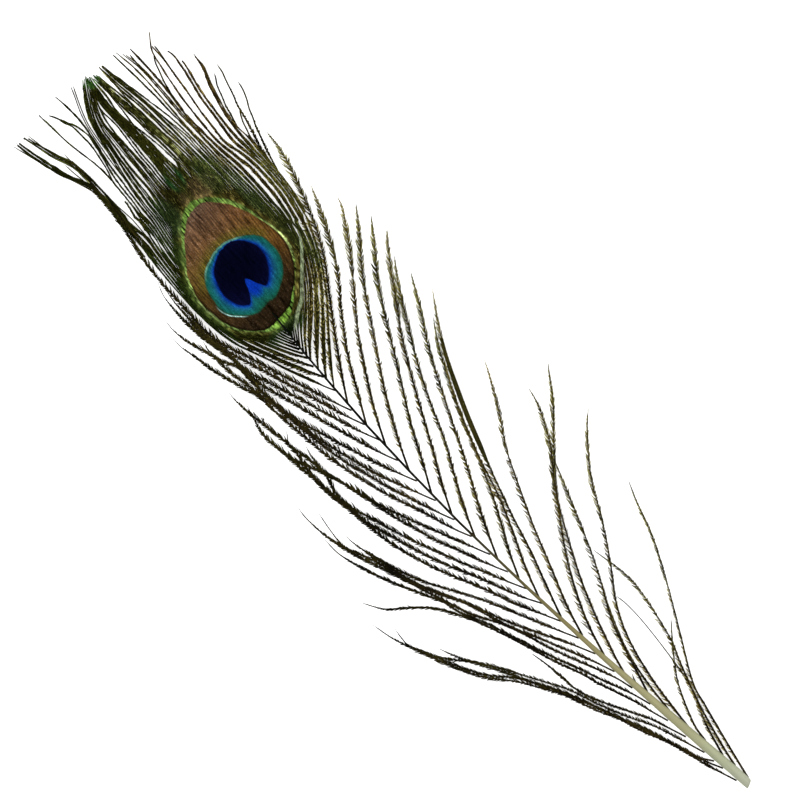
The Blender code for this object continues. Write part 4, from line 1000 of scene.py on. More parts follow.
def part_slits(flat):
    """Moves a path's points aside from the white gaps."""
    x, y = flat[:, 0].copy(), flat[:, 1]
    for half, points in SLITS:
        line = even_path(points, STRAND_STEP)
        line = line[np.argsort(line[:, 1])]
        away = x - np.interp(y, line[:, 1], line[:, 0])
        inside = smoothstep(line[0, 1] - 1, line[0, 1] + 4, y) * smoothstep(-1, 4, line[-1, 1] - y)
        side = 1 if (away * inside).sum() > 0 else -1
        x += side * half * inside * np.exp(-np.abs(away) / SLIT_REACH)
    return np.column_stack([x, y])


def join_crown(flat, line, offset, cut):
    """Leads a barb's path from its place in the vane over to its line in the crown."""
    x, y = flat[:, 0].copy(), flat[:, 1].copy()
    over = np.arange(len(y)) > np.nonzero(y < CROWN_START_Y)[0][-1]
    stretch = (line[-1, 1] - cut - CROWN_START_Y) / (y[-1] - CROWN_START_Y)
    y[over] = CROWN_START_Y + (y[over] - CROWN_START_Y) * stretch
    share = smoothstep(CROWN_START_Y, CROWN_START_Y + 9, y) * over
    x += (np.interp(y, line[:, 1], line[:, 0]) + offset - x) * share
    return np.column_stack([x, y])


def eye_course(grid, place, pair, course, cut):
    """Flat path of one of the eye's barbs from the shaft to its tip in the crown."""
    flat = on_grid(grid, np.full(EYE_STEPS, place))
    flat = part_slits(on_grid(grid, drawn_places(place, pair, flat)))
    return join_crown(flat, *course[:2], cut)


class EyeBarb:
    """One barb of the eye: its path, how far its neighbours are and how closed the vane is along it."""

    def __init__(self, flat, nearest, rng):
        opened = oval_distance(flat, *CLOSED_OVAL)
        self.run = run_of(flat)
        self.share = self.run / self.run[-1]
        wander = np.interp(self.share, np.linspace(0, 1, 14), rng.normal(0, 0.1, 14))
        wander *= smoothstep(1.0, 1.3, opened)
        flat = flat + np.column_stack([wander, 0 * wander])
        self.x, self.y = flat.T
        self.crown = smoothstep(CROWN_START_Y, CROWN_START_Y + 14, self.y)
        layer = rng.uniform(-0.2, 0.2) * smoothstep(0.98, 1.15, opened)
        self.path = raise_path(flat, 0.3 * smoothstep(0, 6, self.run) + 0.12 + layer)
        self.aside = axes_of(self.path)[1]
        self.apart = [
            np.clip(np.abs(((other - flat) * self.aside[:, :2]).sum(axis=1)) / 2, 0.08, 1.5) for other in nearest
        ]
        self.closed, self.nearly, self.beside = closed_share(flat)
        self.leftward = self.x[0] > self.x[-1]
        self.rooted = smoothstep(0.5, 4, self.run) if self.leftward else smoothstep(2, 9, self.run)

    def blade_half(self, strand_width, rng):
        """Half width of the blade: up to its neighbours in the closed part, a narrow strand elsewhere."""
        x, y, closed, nearly, beside = self.x, self.y, self.closed, self.nearly, self.beside
        pitch = self.apart[0] + self.apart[1]
        strand = np.maximum(np.minimum(0.43 * pitch, 0.55) * smoothstep(1, 9, self.run), 0.13)
        right = 0.3 * smoothstep(9, 15, x) * (1 - 0.6 * smoothstep(275, 292, y))
        in_crown = strand_width * (0.6 + 0.06 * smoothstep(-4, -7, x) + right)
        strand += (in_crown * (1 - 0.5 * smoothstep(0.95, 1, self.share)) - strand) * self.crown
        half = np.maximum(strand, np.minimum(0.52 * pitch, 0.6) * nearly**0.6 * self.rooted)
        half = np.maximum(half, np.minimum(0.17 * pitch, 0.4) * beside * self.rooted)
        narrow = (0.2 + 0.16 * smoothstep(204, 214, y)) * pitch
        half = np.minimum(half, 2 + (narrow - 2) * beside * (1 - smoothstep(0.3, 0.7, nearly)))
        half += (0.6 * pitch - half) * closed
        uneven = (0.08 + 0.08 * self.crown) * (1 - nearly) + 0.02
        return half * (1 + rng.normal(0, uneven) * np.clip(1.2 - closed, 0, 1))

    def blade_tone(self, rng):
        """Lightness along the blade: even and streaky where the vane is closed, mottled elsewhere."""
        x, crown, count = self.x, self.crown, len(self.x)
        light = table_at(EYE_LIGHT, x)
        streaky = 0.2 + 0.6 * rng.random() + rng.normal(0, 0.05, count)
        mottled = rng.uniform(0.06, 0.6, count)
        mottled = mottled + rng.random(count) ** 3 * crown * (0.7 - 0.4 * smoothstep(6, 12, x))
        mottled = (mottled + (streaky - mottled) * self.nearly * (1 - 0.6 * crown)) * light
        mottled = mottled * (1 + (rng.uniform(0.5, 1.6) - 1) * crown)
        joined = (0.3 + 0.3 * rng.random()) + rng.normal(0, 0.13, count)
        return mottled + (joined - mottled) * smoothstep(0.4, 1, self.closed)

    def fuzz(self, strands, green, rng, sizes):
        """Barbules: combed out between the barbs low down, clinging to them elsewhere."""
        x, y, run, nearly = self.x, self.y, self.run, self.nearly
        light = table_at(EYE_LIGHT, x) * (1.2 - 0.25 * smoothstep(262, 276, y)) * rng.uniform(0.85, 1.15)
        light = light * (1 - 0.3 * smoothstep(0.2, 0.8, nearly) * smoothstep(245, 235, y) * smoothstep(0, 6, x))
        light = light * (1 + 0.4 * self.beside * (1 - nearly))
        off = x - shaft_at(y)[0]
        low = np.where(off > 0, y < 224, y < 206)
        combed = np.nonzero((np.abs(off) > 1.2) & low & (nearly < 0.75) & (run > 2.5))[0]
        if len(combed) > 4:
            glow = (1.5 if off[combed[0]] > 0 else 0.6) * light
            full = 0.59 * sizes.barbule_length / MM
            for side, room in zip((-1, 1), self.apart):
                reach = np.minimum(room * 1.7 / full, 0.9) * (1.0 if side < 0 else 0.6)
                barbules(strands, self.path, side, reach, run[combed[0]] - 3, run[combed[-1]], rng, sizes, glow,
                         0.4, taper=3.0, gap=0.9)
        loose = np.nonzero((self.closed < 0.9) & (run > 3.5))[0]
        spans = [span for span in np.split(loose, np.nonzero(np.diff(loose) > 1)[0] + 1) if len(span)]
        most = table_at(EYE_FUZZ, y) * (1 + 0.35 * smoothstep(6, 12, x) * smoothstep(262, 250, y))
        for side, room in zip((-1, 1), self.apart):
            reach = np.minimum(room * 0.95, most) * smoothstep(2, 9, run)
            for span in spans:
                cling(strands, self.path, side, reach, run[span[0]], run[span[-1]] - 0.6, rng, light, green)

    def draw(self, strands, strand_width, rng, sizes):
        """Adds the barb: its own shaft, a flat blade that meets its neighbours' and its fuzz."""
        x, crown, closed, nearly = self.x, self.crown, self.closed, self.nearly
        full = sizes.barb_width / MM / 2 * (1.0 - 0.5 * self.share)
        thick = full * (1 - 0.72 * closed) * (1 - 0.35 * crown)
        green = 0.45 + 0.35 * rng.random() + (0.3 - 0.7 * smoothstep(6, 15, x)) * crown
        green = np.clip(green + 0.25 * (1 - smoothstep(-18, -10, x)) - 0.3 * smoothstep(12, 18, x), 0, 1)
        shift = rng.normal(0, 0.07)
        line = self.path + self.aside * (full * 0.5 * (1 - closed) * (1 if self.leftward else -1))[:, None]
        strands.tube(line, thick, thick * 0.6, 4, 0.02 + 0.1 * rng.random(), shift, green)
        half = self.blade_half(strand_width, rng)
        cover = np.maximum.reduce([0.4 + 0 * closed, nearly * self.rooted, self.beside * self.rooted])
        offset = np.clip((self.apart[1] - self.apart[0]) / 2 * cover, -half, half)
        blade = self.path + self.aside * offset[:, None]
        tone = self.blade_tone(rng)
        roll = np.radians(9 - 8 * np.maximum(closed, nearly))
        half = np.maximum(half, LEAST_BLADE_HALF)
        strands.tube(blade, half, BLADE_HALF_HEIGHT, 4, tone, shift, green, roll, BLADE_EDGES)
        self.fuzz(strands, green, rng, sizes)


class Signal:
    """A value that changes over the surface. Sums with it become Math nodes of its tree."""

    def __init__(self, nodes, socket):
        self.nodes, self.socket = nodes, socket

    def __add__(self, other):
        return self.nodes.maths("ADD", self, other)

    def __sub__(self, other):
        return self.nodes.maths("SUBTRACT", self, other)

    def __rsub__(self, other):
        return self.nodes.maths("SUBTRACT", other, self)

    def __mul__(self, other):
        return self.nodes.maths("MULTIPLY", self, other)

    def __truediv__(self, other):
        return self.nodes.maths("DIVIDE", self, other)

    def ease(self, low, high, start=0.0, end=1.0):
        """Smooth step from start to end as the value goes from low to high."""
        return self.nodes.make("ShaderNodeMapRange", self, low, high, start, end, interpolation_type="SMOOTHSTEP")

    def inside(self, soft):
        """1 where a distance outside an outline is under 0, with a soft edge."""
        return self.ease(-soft, soft, 1.0, 0.0)


class Nodes:
    """Adds shader nodes to one tree, linking sockets and setting plain values as it goes."""

    def __init__(self, tree):
        self.tree = tree

    def make(self, kind, *values, out=0, **settings):
        """One output of a new node: values go to its inputs in order, but for None, and settings to the node."""
        node = self.tree.nodes.new(kind)
        for name, value in settings.items():
            setattr(node, name, value)
        for socket, value in zip(node.inputs, values):
            if value is not None:
                self.put(socket, value)
        return Signal(self, node.outputs[out])

    def put(self, socket, value):
        """Links a signal to a socket, or sets the socket's own value."""
        if isinstance(value, Signal):
            self.tree.links.new(value.socket, socket)
        else:
            socket.default_value = value[:3] if socket.type == "VECTOR" else value

    def signals(self, sockets):
        """The signals of sockets, by name."""
        return {socket.name: Signal(self, socket) for socket in sockets}

    def maths(self, operation, *values, clamp=False):
        """Result of a Math node."""
        return self.make("ShaderNodeMath", *values, operation=operation, use_clamp=clamp)

    def blend(self, share, under, over):
        """The under colour, covered by a share of the over colour."""
        return self.make("ShaderNodeMix", share, *[None] * 5, under, over, out=2, data_type="RGBA")

    def shade(self, colour, factor):
        """The colour made lighter or darker by a factor."""
        return self.make("ShaderNodeVectorMath", colour, None, None, factor, operation="SCALE")

    def ramp(self, value, stops):
        """Colour between stops, each a place from 0 to 1 and a colour."""
        node = self.tree.nodes.new("ShaderNodeValToRGB")
        elements = node.color_ramp.elements
        while len(elements) < len(stops):
            elements.new(1.0)
        for element, (spot, colour) in zip(elements, stops):
            element.position = spot
            element.color = linear(colour)
        self.put(node.inputs[0], value)
        return Signal(self, node.outputs[0])

    def curve(self, value, spots):
        """Smooth curve through spots from x = 0 to x = 1."""
        node = self.tree.nodes.new("ShaderNodeFloatCurve")
        line = node.mapping.curves[0]
        line.points[0].location, line.points[1].location = spots[0], spots[-1]
        for spot in spots[1:-1]:
            line.points.new(*spot)
        node.mapping.update()
        self.put(node.inputs["Value"], value)
        return Signal(self, node.outputs[0])

    def point_value(self, name):
        """One of the values that the mesh holds for its points."""
        return self.make("ShaderNodeAttribute", out="Fac", attribute_name=name)

    def noise(self, vector, scale, detail=2.0):
        """Soft noise round 0.5."""
        return self.make("ShaderNodeTexNoise", vector, None, scale, detail)

    def call(self, tree, **values):
        """Places a node group with its own values and returns its outputs by name."""
        node = self.tree.nodes.new("ShaderNodeGroup")
        node.node_tree = tree
        for name, value in values.items():
            self.put(node.inputs[name.title()], value)
        return self.signals(node.outputs)


def tint(red, green, blue):
    """Linear colour from the eight-bit values that it shows on a screen."""
    parts = [part / 255 for part in (red, green, blue)]
    return tuple(p / 12.92 if p <= 0.04045 else ((p + 0.055) / 1.055) ** 2.4 for p in parts) + (1.0,)


def linear(colour):
    """Linear colour from eight-bit values, or from a property as it is."""
    return tint(*colour) if len(colour) == 3 else tuple(colour)


def new_group(name, inputs, outputs):
    """Empty shader node group: inputs are (name, kind, default), and outputs (name, kind)."""
    tree = bpy.data.node_groups.new(name, "ShaderNodeTree")
    for label, kind, default in inputs:
        socket = tree.interface.new_socket(label, in_out="INPUT", socket_type=kind)
        if default is not None:
            socket.default_value = default
    for label, kind in outputs:
        tree.interface.new_socket(label, in_out="OUTPUT", socket_type=kind)
    nodes = Nodes(tree)
    given = nodes.signals(tree.nodes.new("NodeGroupInput").outputs)
    return tree, nodes, given, tree.nodes.new("NodeGroupOutput").inputs


def streak_group():
    """Fine streaks that run along the feather, as on keratin and on barbules that lie side by side."""
    tree, nodes, given, result = new_group(
        "Keratin Streaks",
        [("Vector", "NodeSocketVector", None), ("Fineness", "NodeSocketFloat", 600.0),
         ("Strength", "NodeSocketFloat", 0.3)],
        [("Factor", "NodeSocketFloat"), ("Height", "NodeSocketFloat")],
    )
    squeezed = nodes.make("ShaderNodeVectorMath", given["Vector"], (1.0, 0.12, 1.0), operation="MULTIPLY")
    noise = nodes.noise(squeezed, given["Fineness"], 3.0)
    nodes.put(result["Factor"], (noise - 0.5) * given["Strength"] * 2.0 + 1.0)
    nodes.put(result["Height"], noise)
    return tree


def barb_colour_group(colours):
    """Barbs from near black through brown to pale khaki by their tone, turned olive by their green value."""
    tree, nodes, given, result = new_group(
        "Barb Colour",
        [("Tone", "NodeSocketFloat", 0.5), ("Green", "NodeSocketFloat", 0.3), ("Lift", "NodeSocketFloat", 1.0)],
        [("Colour", "NodeSocketColor")],
    )
    brown = nodes.ramp(given["Tone"], (
        (0.0, colours.barb_dark), (0.35, colours.barb_brown), (0.7, colours.barb_khaki), (1.0, colours.barb_pale),
    ))
    olive = nodes.ramp(given["Tone"], (
        (0.0, (10, 12, 4)), (0.4, colours.barb_olive), (0.75, (106, 112, 54)), (1.0, (168, 172, 112)),
    ))
    nodes.put(result["Colour"], nodes.shade(nodes.blend(given["Green"], brown, olive), given["Lift"]))
    return tree


def barb_groups(colours):
    """The two shader node groups of the barbs, made when they are first asked for."""
    made = bpy.data.node_groups
    return made.get("Barb Colour") or barb_colour_group(colours), made.get("Keratin Streaks") or streak_group()


def new_material(name, roughness, specular):
    """Material with a Principled shader, and the helper for its tree."""
    material = bpy.data.materials.new(name)
    material.use_nodes = True
    shader = material.node_tree.nodes["Principled BSDF"]
    shader.inputs["Roughness"].default_value = roughness
    shader.inputs["Specular IOR Level"].default_value = specular
    return material, Nodes(material.node_tree), shader


def feather_place(nodes):
    """The plain coordinates of the surface, and its place in millimetres across and along the feather."""
    coords = nodes.make("ShaderNodeTexCoord", out="Object")
    parts = nodes.tree.nodes.new("ShaderNodeSeparateXYZ")
    nodes.put(parts.inputs[0], coords)
    x, y = (
        nodes.maths("MULTIPLY_ADD", Signal(nodes, socket), 1 / MM, centre)
        for socket, centre in zip(parts.outputs[:2], BOX_CENTRE)
    )
    return coords, x, y


def shaft_material(streaks, colours):
    """Quill: pale where it was in the skin, tan along the shaft and near black below the eye."""
    material, nodes, shader = new_material("quill keratin", 0.5, 0.02)
    coords, _, y = feather_place(nodes)
    fine = nodes.call(streaks, vector=coords, fineness=900.0, strength=0.16)
    colour = nodes.ramp(y / SHAFT_COLOUR_LENGTH, (
        (0.0, colours.quill_pale), (0.06, (157, 161, 132)), (0.12, (151, 150, 116)), (0.22, colours.quill_tan),
        (0.34, (126, 118, 80)), (0.46, (84, 78, 50)), (0.56, (34, 30, 20)), (0.7, (16, 14, 9)),
        (0.9, (8, 9, 6)), (1.0, (8, 16, 10)),
    ))
    edge = nodes.point_value("edge")
    # Painted highlight on the shaft's right flank and painted shade on its left side
    painted_light_and_shade = edge.ease(0.0, 0.75, 0.8, 1.12) * edge.ease(0.85, 1.0, 1.0, 0.85)
    nodes.put(shader.inputs["Base Color"], nodes.shade(colour, fine["Factor"] * painted_light_and_shade))
    bump = nodes.tree.nodes.new("ShaderNodeBump")
    bump.inputs["Strength"].default_value = 0.25
    bump.inputs["Distance"].default_value = 0.0002
    nodes.put(bump.inputs["Height"], fine["Height"])
    nodes.put(shader.inputs["Normal"], Signal(nodes, bump.outputs[0]))
    return material


def barb_material(name, barb_colour, streaks, lift, roughness):
    """Loose barbs: each tuft of barbules has its own tone, and fine streaks break it up."""
    material, nodes, shader = new_material(name, roughness, 0.0)
    coords, _, _ = feather_place(nodes)
    fine = nodes.call(streaks, vector=coords, fineness=1500.0, strength=0.45)["Factor"]
    tone = nodes.maths("ADD", nodes.point_value("tone"), nodes.noise(coords, 120.0) * 0.5 - 0.25, clamp=True)
    colour = nodes.call(barb_colour, tone=tone, green=nodes.point_value("green"), lift=lift)["Colour"]
    nodes.put(shader.inputs["Base Color"], nodes.shade(colour, fine))
    return material


def outline_distance(nodes, x, y, middle, outline):
    """Distance in millimetres outside a closed outline, measured from its middle, and the angle round it."""
    across, along = x - middle[0], y - middle[1]
    turn = nodes.maths("ARCTAN2", along, across) / (2 * math.pi) + 0.5
    reach = nodes.maths("SQRT", across * across + along * along)
    spots = [(angle / (2 * math.pi) + 0.5, away / OUTLINE_SPAN) for angle, away in polar(outline, middle)]
    (first, near), (last, far) = spots[0], spots[-1]
    seam = near + (far - near) * first / (first + 1 - last)
    return reach - nodes.curve(turn, [(0.0, seam), *spots, (1.0, seam)]) * OUTLINE_SPAN, turn


def patch(x, y, middle, size, soft=0.6):
    """Soft oval patch, 1 in its middle."""
    across, along = (x - middle[0]) / size[0], (y - middle[1]) / size[1]
    return (across * across + along * along).ease(1.0 - soft, 1.0 + soft, 1.0, 0.0)


def curve_band(nodes, x, y, path, half):
    """Soft band, 1 along a path that goes steadily across the feather."""
    start, length = path[0][0], path[-1][0] - path[0][0]
    heights = [spot[1] for spot in path]
    low, span = min(heights), max(heights) - min(heights)
    share = (x - start) / length
    middle = nodes.curve(nodes.maths("ADD", share, 0.0, clamp=True),
                         [((px - start) / length, (py - low) / span) for px, py in path])
    away = nodes.maths("ABSOLUTE", y - (middle * span + low))
    return away.ease(half * 0.5, half, 1.0, 0.0) * (share.ease(-0.02, 0.04) * share.ease(0.9, 1.02, 1.0, 0.0))


def vane_colour(nodes, x, y, tone, barb_colour):
    """Dark barbs outside the ring, with green and olive patches."""
    colour = nodes.call(barb_colour, tone=tone, green=nodes.point_value("green"), lift=1.0)["Colour"]
    strong = tone * 2.0 + 0.25
    for middle, size, green, strength in EYE_PATCHES:
        colour = nodes.blend(patch(x, y, middle, size) * strength, colour, nodes.shade(tint(*green), strong))
    return colour


def ring_colour(nodes, coords, turn, ring_edge, streaks, colours):
    """Green ring, darker in places and towards its outer edge, with a painted highlight on its right."""
    shadow = nodes.noise(coords, 260.0).ease(0.4, 0.75, 0.0, 0.5)
    colour = nodes.blend(shadow, nodes.ramp(turn, RING_STOPS), colours.ring_shadow)
    colour = nodes.shade(colour, ring_edge.ease(-1.3, 0.2, 1.2, 0.6))
    return nodes.shade(colour, nodes.call(streaks, vector=coords, fineness=1800.0, strength=3.4)["Factor"])


def bronze_colour(nodes, coords, x, y, disc, bronze_edge, colours):
    """Bronze that is near black at its foot, warm on the right, olive by the blue and flecked above it."""
    colour = nodes.ramp((y - BRONZE_FOOT_Y) / BRONZE_LENGTH, BRONZE_STOPS)
    flecks = nodes.noise(coords, 2200.0).ease(0.55, 0.72, 0.0, 0.4)
    for share, over in (
        (x.ease(-4.0, 8.0, 0.0, 0.5) * y.ease(214.0, 224.0), colours.bronze_warm),
        (x.ease(-17.0, -20.0, 0.0, 0.55) * y.ease(228.0, 218.0), colours.bronze_dark),
        (disc.ease(0.2, 3.6, 0.75, 0.0) * y.ease(222.0, 229.0), colours.bronze_olive),
        (flecks * y.ease(222.0, 236.0, 0.3, 1.0), BRONZE_FLECK),
    ):
        colour = nodes.blend(share, colour, linear(over))
    rim = bronze_edge.ease(-0.8, -0.1) * y.ease(236.0, 226.0)
    return nodes.shade(colour, 1.0 - rim * 0.6)


def with_glints(nodes, colour, coords, x, y, disc, turn):
    """The colour with the blue's rim and the barbs right of the eye catching the light."""
    for near, far, begins, ends, glint, strength in RIM_GLINTS:
        here = disc.ease(near - 0.2, near + 0.1) * disc.ease(far - 0.1, far + 0.2, 1.0, 0.0)
        there = turn.ease(begins - 0.02, begins + 0.02) * turn.ease(ends - 0.02, ends + 0.02, 1.0, 0.0)
        colour = nodes.blend(here * there * strength, colour, tint(*glint))
    patchy = nodes.noise(coords, 600.0).ease(0.3, 0.6, 0.35, 1.0)
    band = curve_band(nodes, x, y, BARB_GLINT, BARB_GLINT_HALF)
    return nodes.blend(band * patchy, colour, tint(*BARB_GLINT_COLOUR))


def tone_and_painted_shade(nodes, coords, tone, disc, bronze_edge, ring_edge, streaks):
    """How much the barbs' tones, streaks and the painted shade at their edges lighten or darken the markings:
    little in the blue.
    """
    lively = 1.0 - disc.inside(0.35) * 0.95
    strength = bronze_edge.inside(0.2) * lively * 0.95 + 0.75
    fine = nodes.call(streaks, vector=coords, fineness=1400.0, strength=strength)["Factor"]
    grain = nodes.noise(coords, 1500.0).ease(0.35, 0.65, ring_edge.ease(0.0, 0.6, 0.35, 0.8), 1.0)
    deep = ring_edge.ease(0.2, 1.2, 0.6, 0.85) * grain
    # Painted shade along the blades' edges, where neighbouring barbs meet
    painted_gap_shade = nodes.point_value("edge").ease(0.3, 0.95) * deep * lively
    return (1.1 - painted_gap_shade) * (tone * 0.9 + 0.6) * fine


def eye_material(barb_colour, streaks, colours):
    """The eye's markings: pupil, blue and teal iris, bronze, green ring and the dark vane round it."""
    material, nodes, shader = new_material("eye barbs", 0.5, 0.0)
    coords, x, y = feather_place(nodes)
    tone = nodes.point_value("tone")
    shifted = y + nodes.point_value("shift")
    pupil, _ = outline_distance(nodes, x, shifted, PUPIL_MIDDLE, PUPIL_OUTLINE)
    disc, turn = outline_distance(nodes, x, shifted, EYE_MIDDLE, DISC_OUTLINE)
    bronze_edge, _ = outline_distance(nodes, x, shifted, EYE_MIDDLE, BRONZE_OUTLINE)
    ring_edge, _ = outline_distance(nodes, x, shifted, EYE_MIDDLE, RING_OUTLINE)
    iris = nodes.ramp(pupil / nodes.maths("MAXIMUM", pupil - disc, 0.05), IRIS_STOPS)
    colour = vane_colour(nodes, x, y, tone, barb_colour)
    for share, over in (
        ((ring_edge + nodes.noise(coords, 900.0) * 1.2).inside(0.4),
         ring_colour(nodes, coords, turn, ring_edge, streaks, colours)),
        ((bronze_edge - 0.2).inside(0.2), bronze_colour(nodes, coords, x, y, disc, bronze_edge, colours)),
        (disc.inside(0.35), nodes.blend(patch(x, y, *NOTCH), iris, colours.notch)),
        (pupil.inside(0.3), nodes.blend(patch(x, y, *PUPIL_DEPTH), colours.pupil_rim, colours.pupil)),
    ):
        colour = nodes.blend(share, colour, over)
    colour = with_glints(nodes, colour, coords, x, y, disc, turn)
    colour = nodes.shade(colour, nodes.noise(coords, 2600.0).ease(0.3, 0.7, 0.75, 1.25))
    shading = tone_and_painted_shade(nodes, coords, tone, disc, bronze_edge, ring_edge, streaks)
    nodes.put(shader.inputs["Base Color"], nodes.shade(colour, shading * EYE_LIFT))
    return material


def floor_material(studio):
    """Matt pale floor with the faint unevenness of paper."""
    material, nodes, shader = new_material("paper floor", 0.9, 0.1)
    coords = nodes.make("ShaderNodeTexCoord", out="Object")
    cloudy = nodes.noise(coords, 9.0) * 0.03 + 0.985
    nodes.put(shader.inputs["Base Color"], nodes.shade(studio.floor_colour, cloudy))
    shader.inputs["Emission Color"].default_value = (1.0, 1.0, 1.0, 1.0)
    shader.inputs["Emission Strength"].default_value = studio.floor_glow
    return material


def add_piece(name, strands, material, smooth=True):
    """Makes gathered strands into one mesh in metres that rides on the body and stands for the solid."""
    points = (np.vstack(strands.points) - BOX_CENTRE) * MM
    faces = np.vstack(strands.faces)
    values = np.vstack(strands.values)
    mesh = bpy.data.meshes.new(name)
    mesh.vertices.add(len(points))
    mesh.vertices.foreach_set("co", points.ravel())
    mesh.loops.add(faces.size)
    mesh.loops.foreach_set("vertex_index", faces.ravel())
    mesh.polygons.add(len(faces))
    mesh.polygons.foreach_set("loop_start", np.arange(0, faces.size, 3))
    mesh.polygons.foreach_set("use_smooth", np.full(len(faces), smooth))
    mesh.update(calc_edges=True)
    if mesh.validate():
        raise RuntimeError(f"{name} has broken faces")
    for k, label in enumerate(VALUES):
        mesh.attributes.new(label, "FLOAT", "POINT").data.foreach_set("value", values[:, k])
    low = points.min(axis=0)
    spots = (points[faces.ravel(), :2] - low[:2]) / (points.max(axis=0) - low)[:2].max()
    mesh.uv_layers.new(name="OFBake").data.foreach_set("uv", spots.ravel())
    mesh.materials.append(material)
    piece = bpy.data.objects.new(name, mesh)
    bpy.context.scene.collection.objects.link(piece)
    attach(piece, BODY)
    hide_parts(NODE)


def colour_property(name, description, *values):
    """Colour property whose default is given in eight-bit values."""
    return bpy.props.FloatVectorProperty(
        name=name, description=description, subtype="COLOR", size=4, min=0.0, max=1.0, default=tint(*values)
    )


def number_property(name, description, default, least=0.0, **kind):
    """Number property with a least value, and a unit where one fits."""
    return bpy.props.FloatProperty(name=name, description=description, default=default, min=least, **kind)


def length_property(name, description, default):
    """Property for the small length of a strand."""
    return number_property(name, description, default, 0.00002, precision=5, unit="LENGTH")


class FeatherSizes(bpy.types.PropertyGroup):
    """Sizes of the fine strands."""

    barbule_gap: length_property("Barbule Gap", "Distance between barbules along a loose barb", 0.00032)
    barbule_length: length_property("Barbule Length", "Length of a barbule on a full loose barb", 0.003)
    barbule_width: length_property("Barbule Width", "Width of a barbule at its middle", 0.00024)
    barb_width: length_property("Barb Width", "Width of a barb's own shaft near its root", 0.0005)


class FeatherColours(bpy.types.PropertyGroup):
    """Colours of the keratin and of the eye's markings."""

    quill_pale: colour_property("Quill", "Bare quill at its cut end", 161, 164, 144)
    quill_tan: colour_property("Shaft", "Shaft among the lower barbs", 146, 141, 105)
    barb_dark: colour_property("Barb Core", "Barbs' own shafts and the depth between barbules", 18, 14, 10)
    barb_brown: colour_property("Barb Brown", "Barbules in shade", 68, 55, 26)
    barb_khaki: colour_property("Barb Khaki", "Barbules in light", 134, 113, 60)
    barb_pale: colour_property("Barb Pale", "Barbule tips that catch the light", 188, 172, 116)
    barb_olive: colour_property("Barb Olive", "Green sheen of the barbs near the eye", 50, 54, 16)
    pupil: colour_property("Pupil", "Middle of the eye", 3, 4, 20)
    pupil_rim: colour_property("Pupil Rim", "Violet edge of the eye's middle", 6, 7, 32)
    notch: colour_property("Blue Notch", "Deep blue between the pupil's lobes", 8, 46, 150)
    ring_shadow: colour_property("Ring Shadow", "Darker streaks of the green ring", 60, 86, 34)
    bronze_warm: colour_property("Warm Bronze", "Bronze on the eye's right side", 104, 66, 30)
    bronze_olive: colour_property("Olive Bronze", "Bronze just above the blue", 84, 78, 24)
    bronze_dark: colour_property("Shaded Bronze", "Bronze on the eye's left side", 46, 34, 18)


class FeatherStudio(bpy.types.PropertyGroup):
    """Floor, light and camera."""

    floor_colour: colour_property("Floor", "Colour of the floor", 246, 246, 246)
    floor_glow: number_property("Floor Glow", "Light that comes up through the floor, as on a light table", 0.5)
    floor_size: number_property("Floor Size", "Side of the square floor", 4.0, 0.5, unit="LENGTH")
    sky: number_property("Sky", "Brightness of the even light all round", 0.84)
    lamp: number_property("Lamp", "Power of the soft lamp overhead", 10.5, unit="POWER")
    lens: number_property("Lens", "Focal length of the camera", 100.0, 10.0, subtype="DISTANCE_CAMERA")
    camera_height: number_property(
        "Camera Height", "Height of the camera over the floor", 0.689, 0.1, unit="LENGTH"
    )
    camera_turn: number_property(
        "Camera Turn", "Turn of the camera about the vertical", math.radians(-42.77), -math.pi, subtype="ANGLE"
    )


class FEATHER_OT_shaft(bpy.types.Operator):
    """Build the quill and shaft"""

    bl_idname = "feather.shaft"
    bl_label = "Shaft"

    def execute(self, context):
        colours = context.scene.feather_colours
        strands = Strands()
        shaft_skin(strands)
        _, streaks = barb_groups(colours)
        add_piece("shaft", strands, shaft_material(streaks, colours))
        return {"FINISHED"}


class FEATHER_OT_loose_barbs(bpy.types.Operator):
    """Build the loose barbs of both sides"""

    bl_idname = "feather.loose_barbs"
    bl_label = "Loose Barbs"

    def execute(self, context):
        sizes, colours = context.scene.feather_sizes, context.scene.feather_colours
        material = barb_material("loose barbs", *barb_groups(colours), lift=1.0, roughness=0.62)
        for name, rows, look in (("right_barbs", RIGHT_BARBS, RIGHT_LOOK), ("left_barbs", LEFT_BARBS, LEFT_LOOK)):
            rng = np.random.default_rng(look.seed)
            strands = Strands()
            for row in rows:
                loose_barb(strands, row, look, rng, sizes)
            if look is RIGHT_LOOK:
                zipped_stretch(strands, rows[ZIPPED_BARB][3], *ZIPPED_STRETCH, rng)
            add_piece(name, strands, material)
        return {"FINISHED"}


class FEATHER_OT_eye(bpy.types.Operator):
    """Build the closed barbs of the eye, which run on to the crown's tips"""

    bl_idname = "feather.eye"
    bl_label = "Eye"

    def execute(self, context):
        sizes, colours = context.scene.feather_sizes, context.scene.feather_colours
        material = eye_material(*barb_groups(colours), colours)
        rng = np.random.default_rng(EYE_SEED)
        grid = eye_grid()
        places, pairs = eye_places()
        courses = crown_courses()
        if len(courses) != len(places):
            raise RuntimeError(f"{len(places)} barbs have {len(courses)} courses in the crown")
        flats = [
            eye_course(grid, *given, rng.uniform(0, CROWN_SHORTEST)) for given in zip(places, pairs, courses)
        ]
        for name, chosen in (("eye_left", places < EYE_SPLIT), ("eye_right", places >= EYE_SPLIT)):
            strands = Strands()
            for k in np.nonzero(chosen)[0]:
                nearest = [flats[j if 0 <= j < len(flats) else 2 * k - j] for j in (k - 1, k + 1)]
                EyeBarb(flats[k], nearest, rng).draw(strands, courses[k][2], rng, sizes)
            add_piece(name, strands, material, smooth=False)
        return {"FINISHED"}


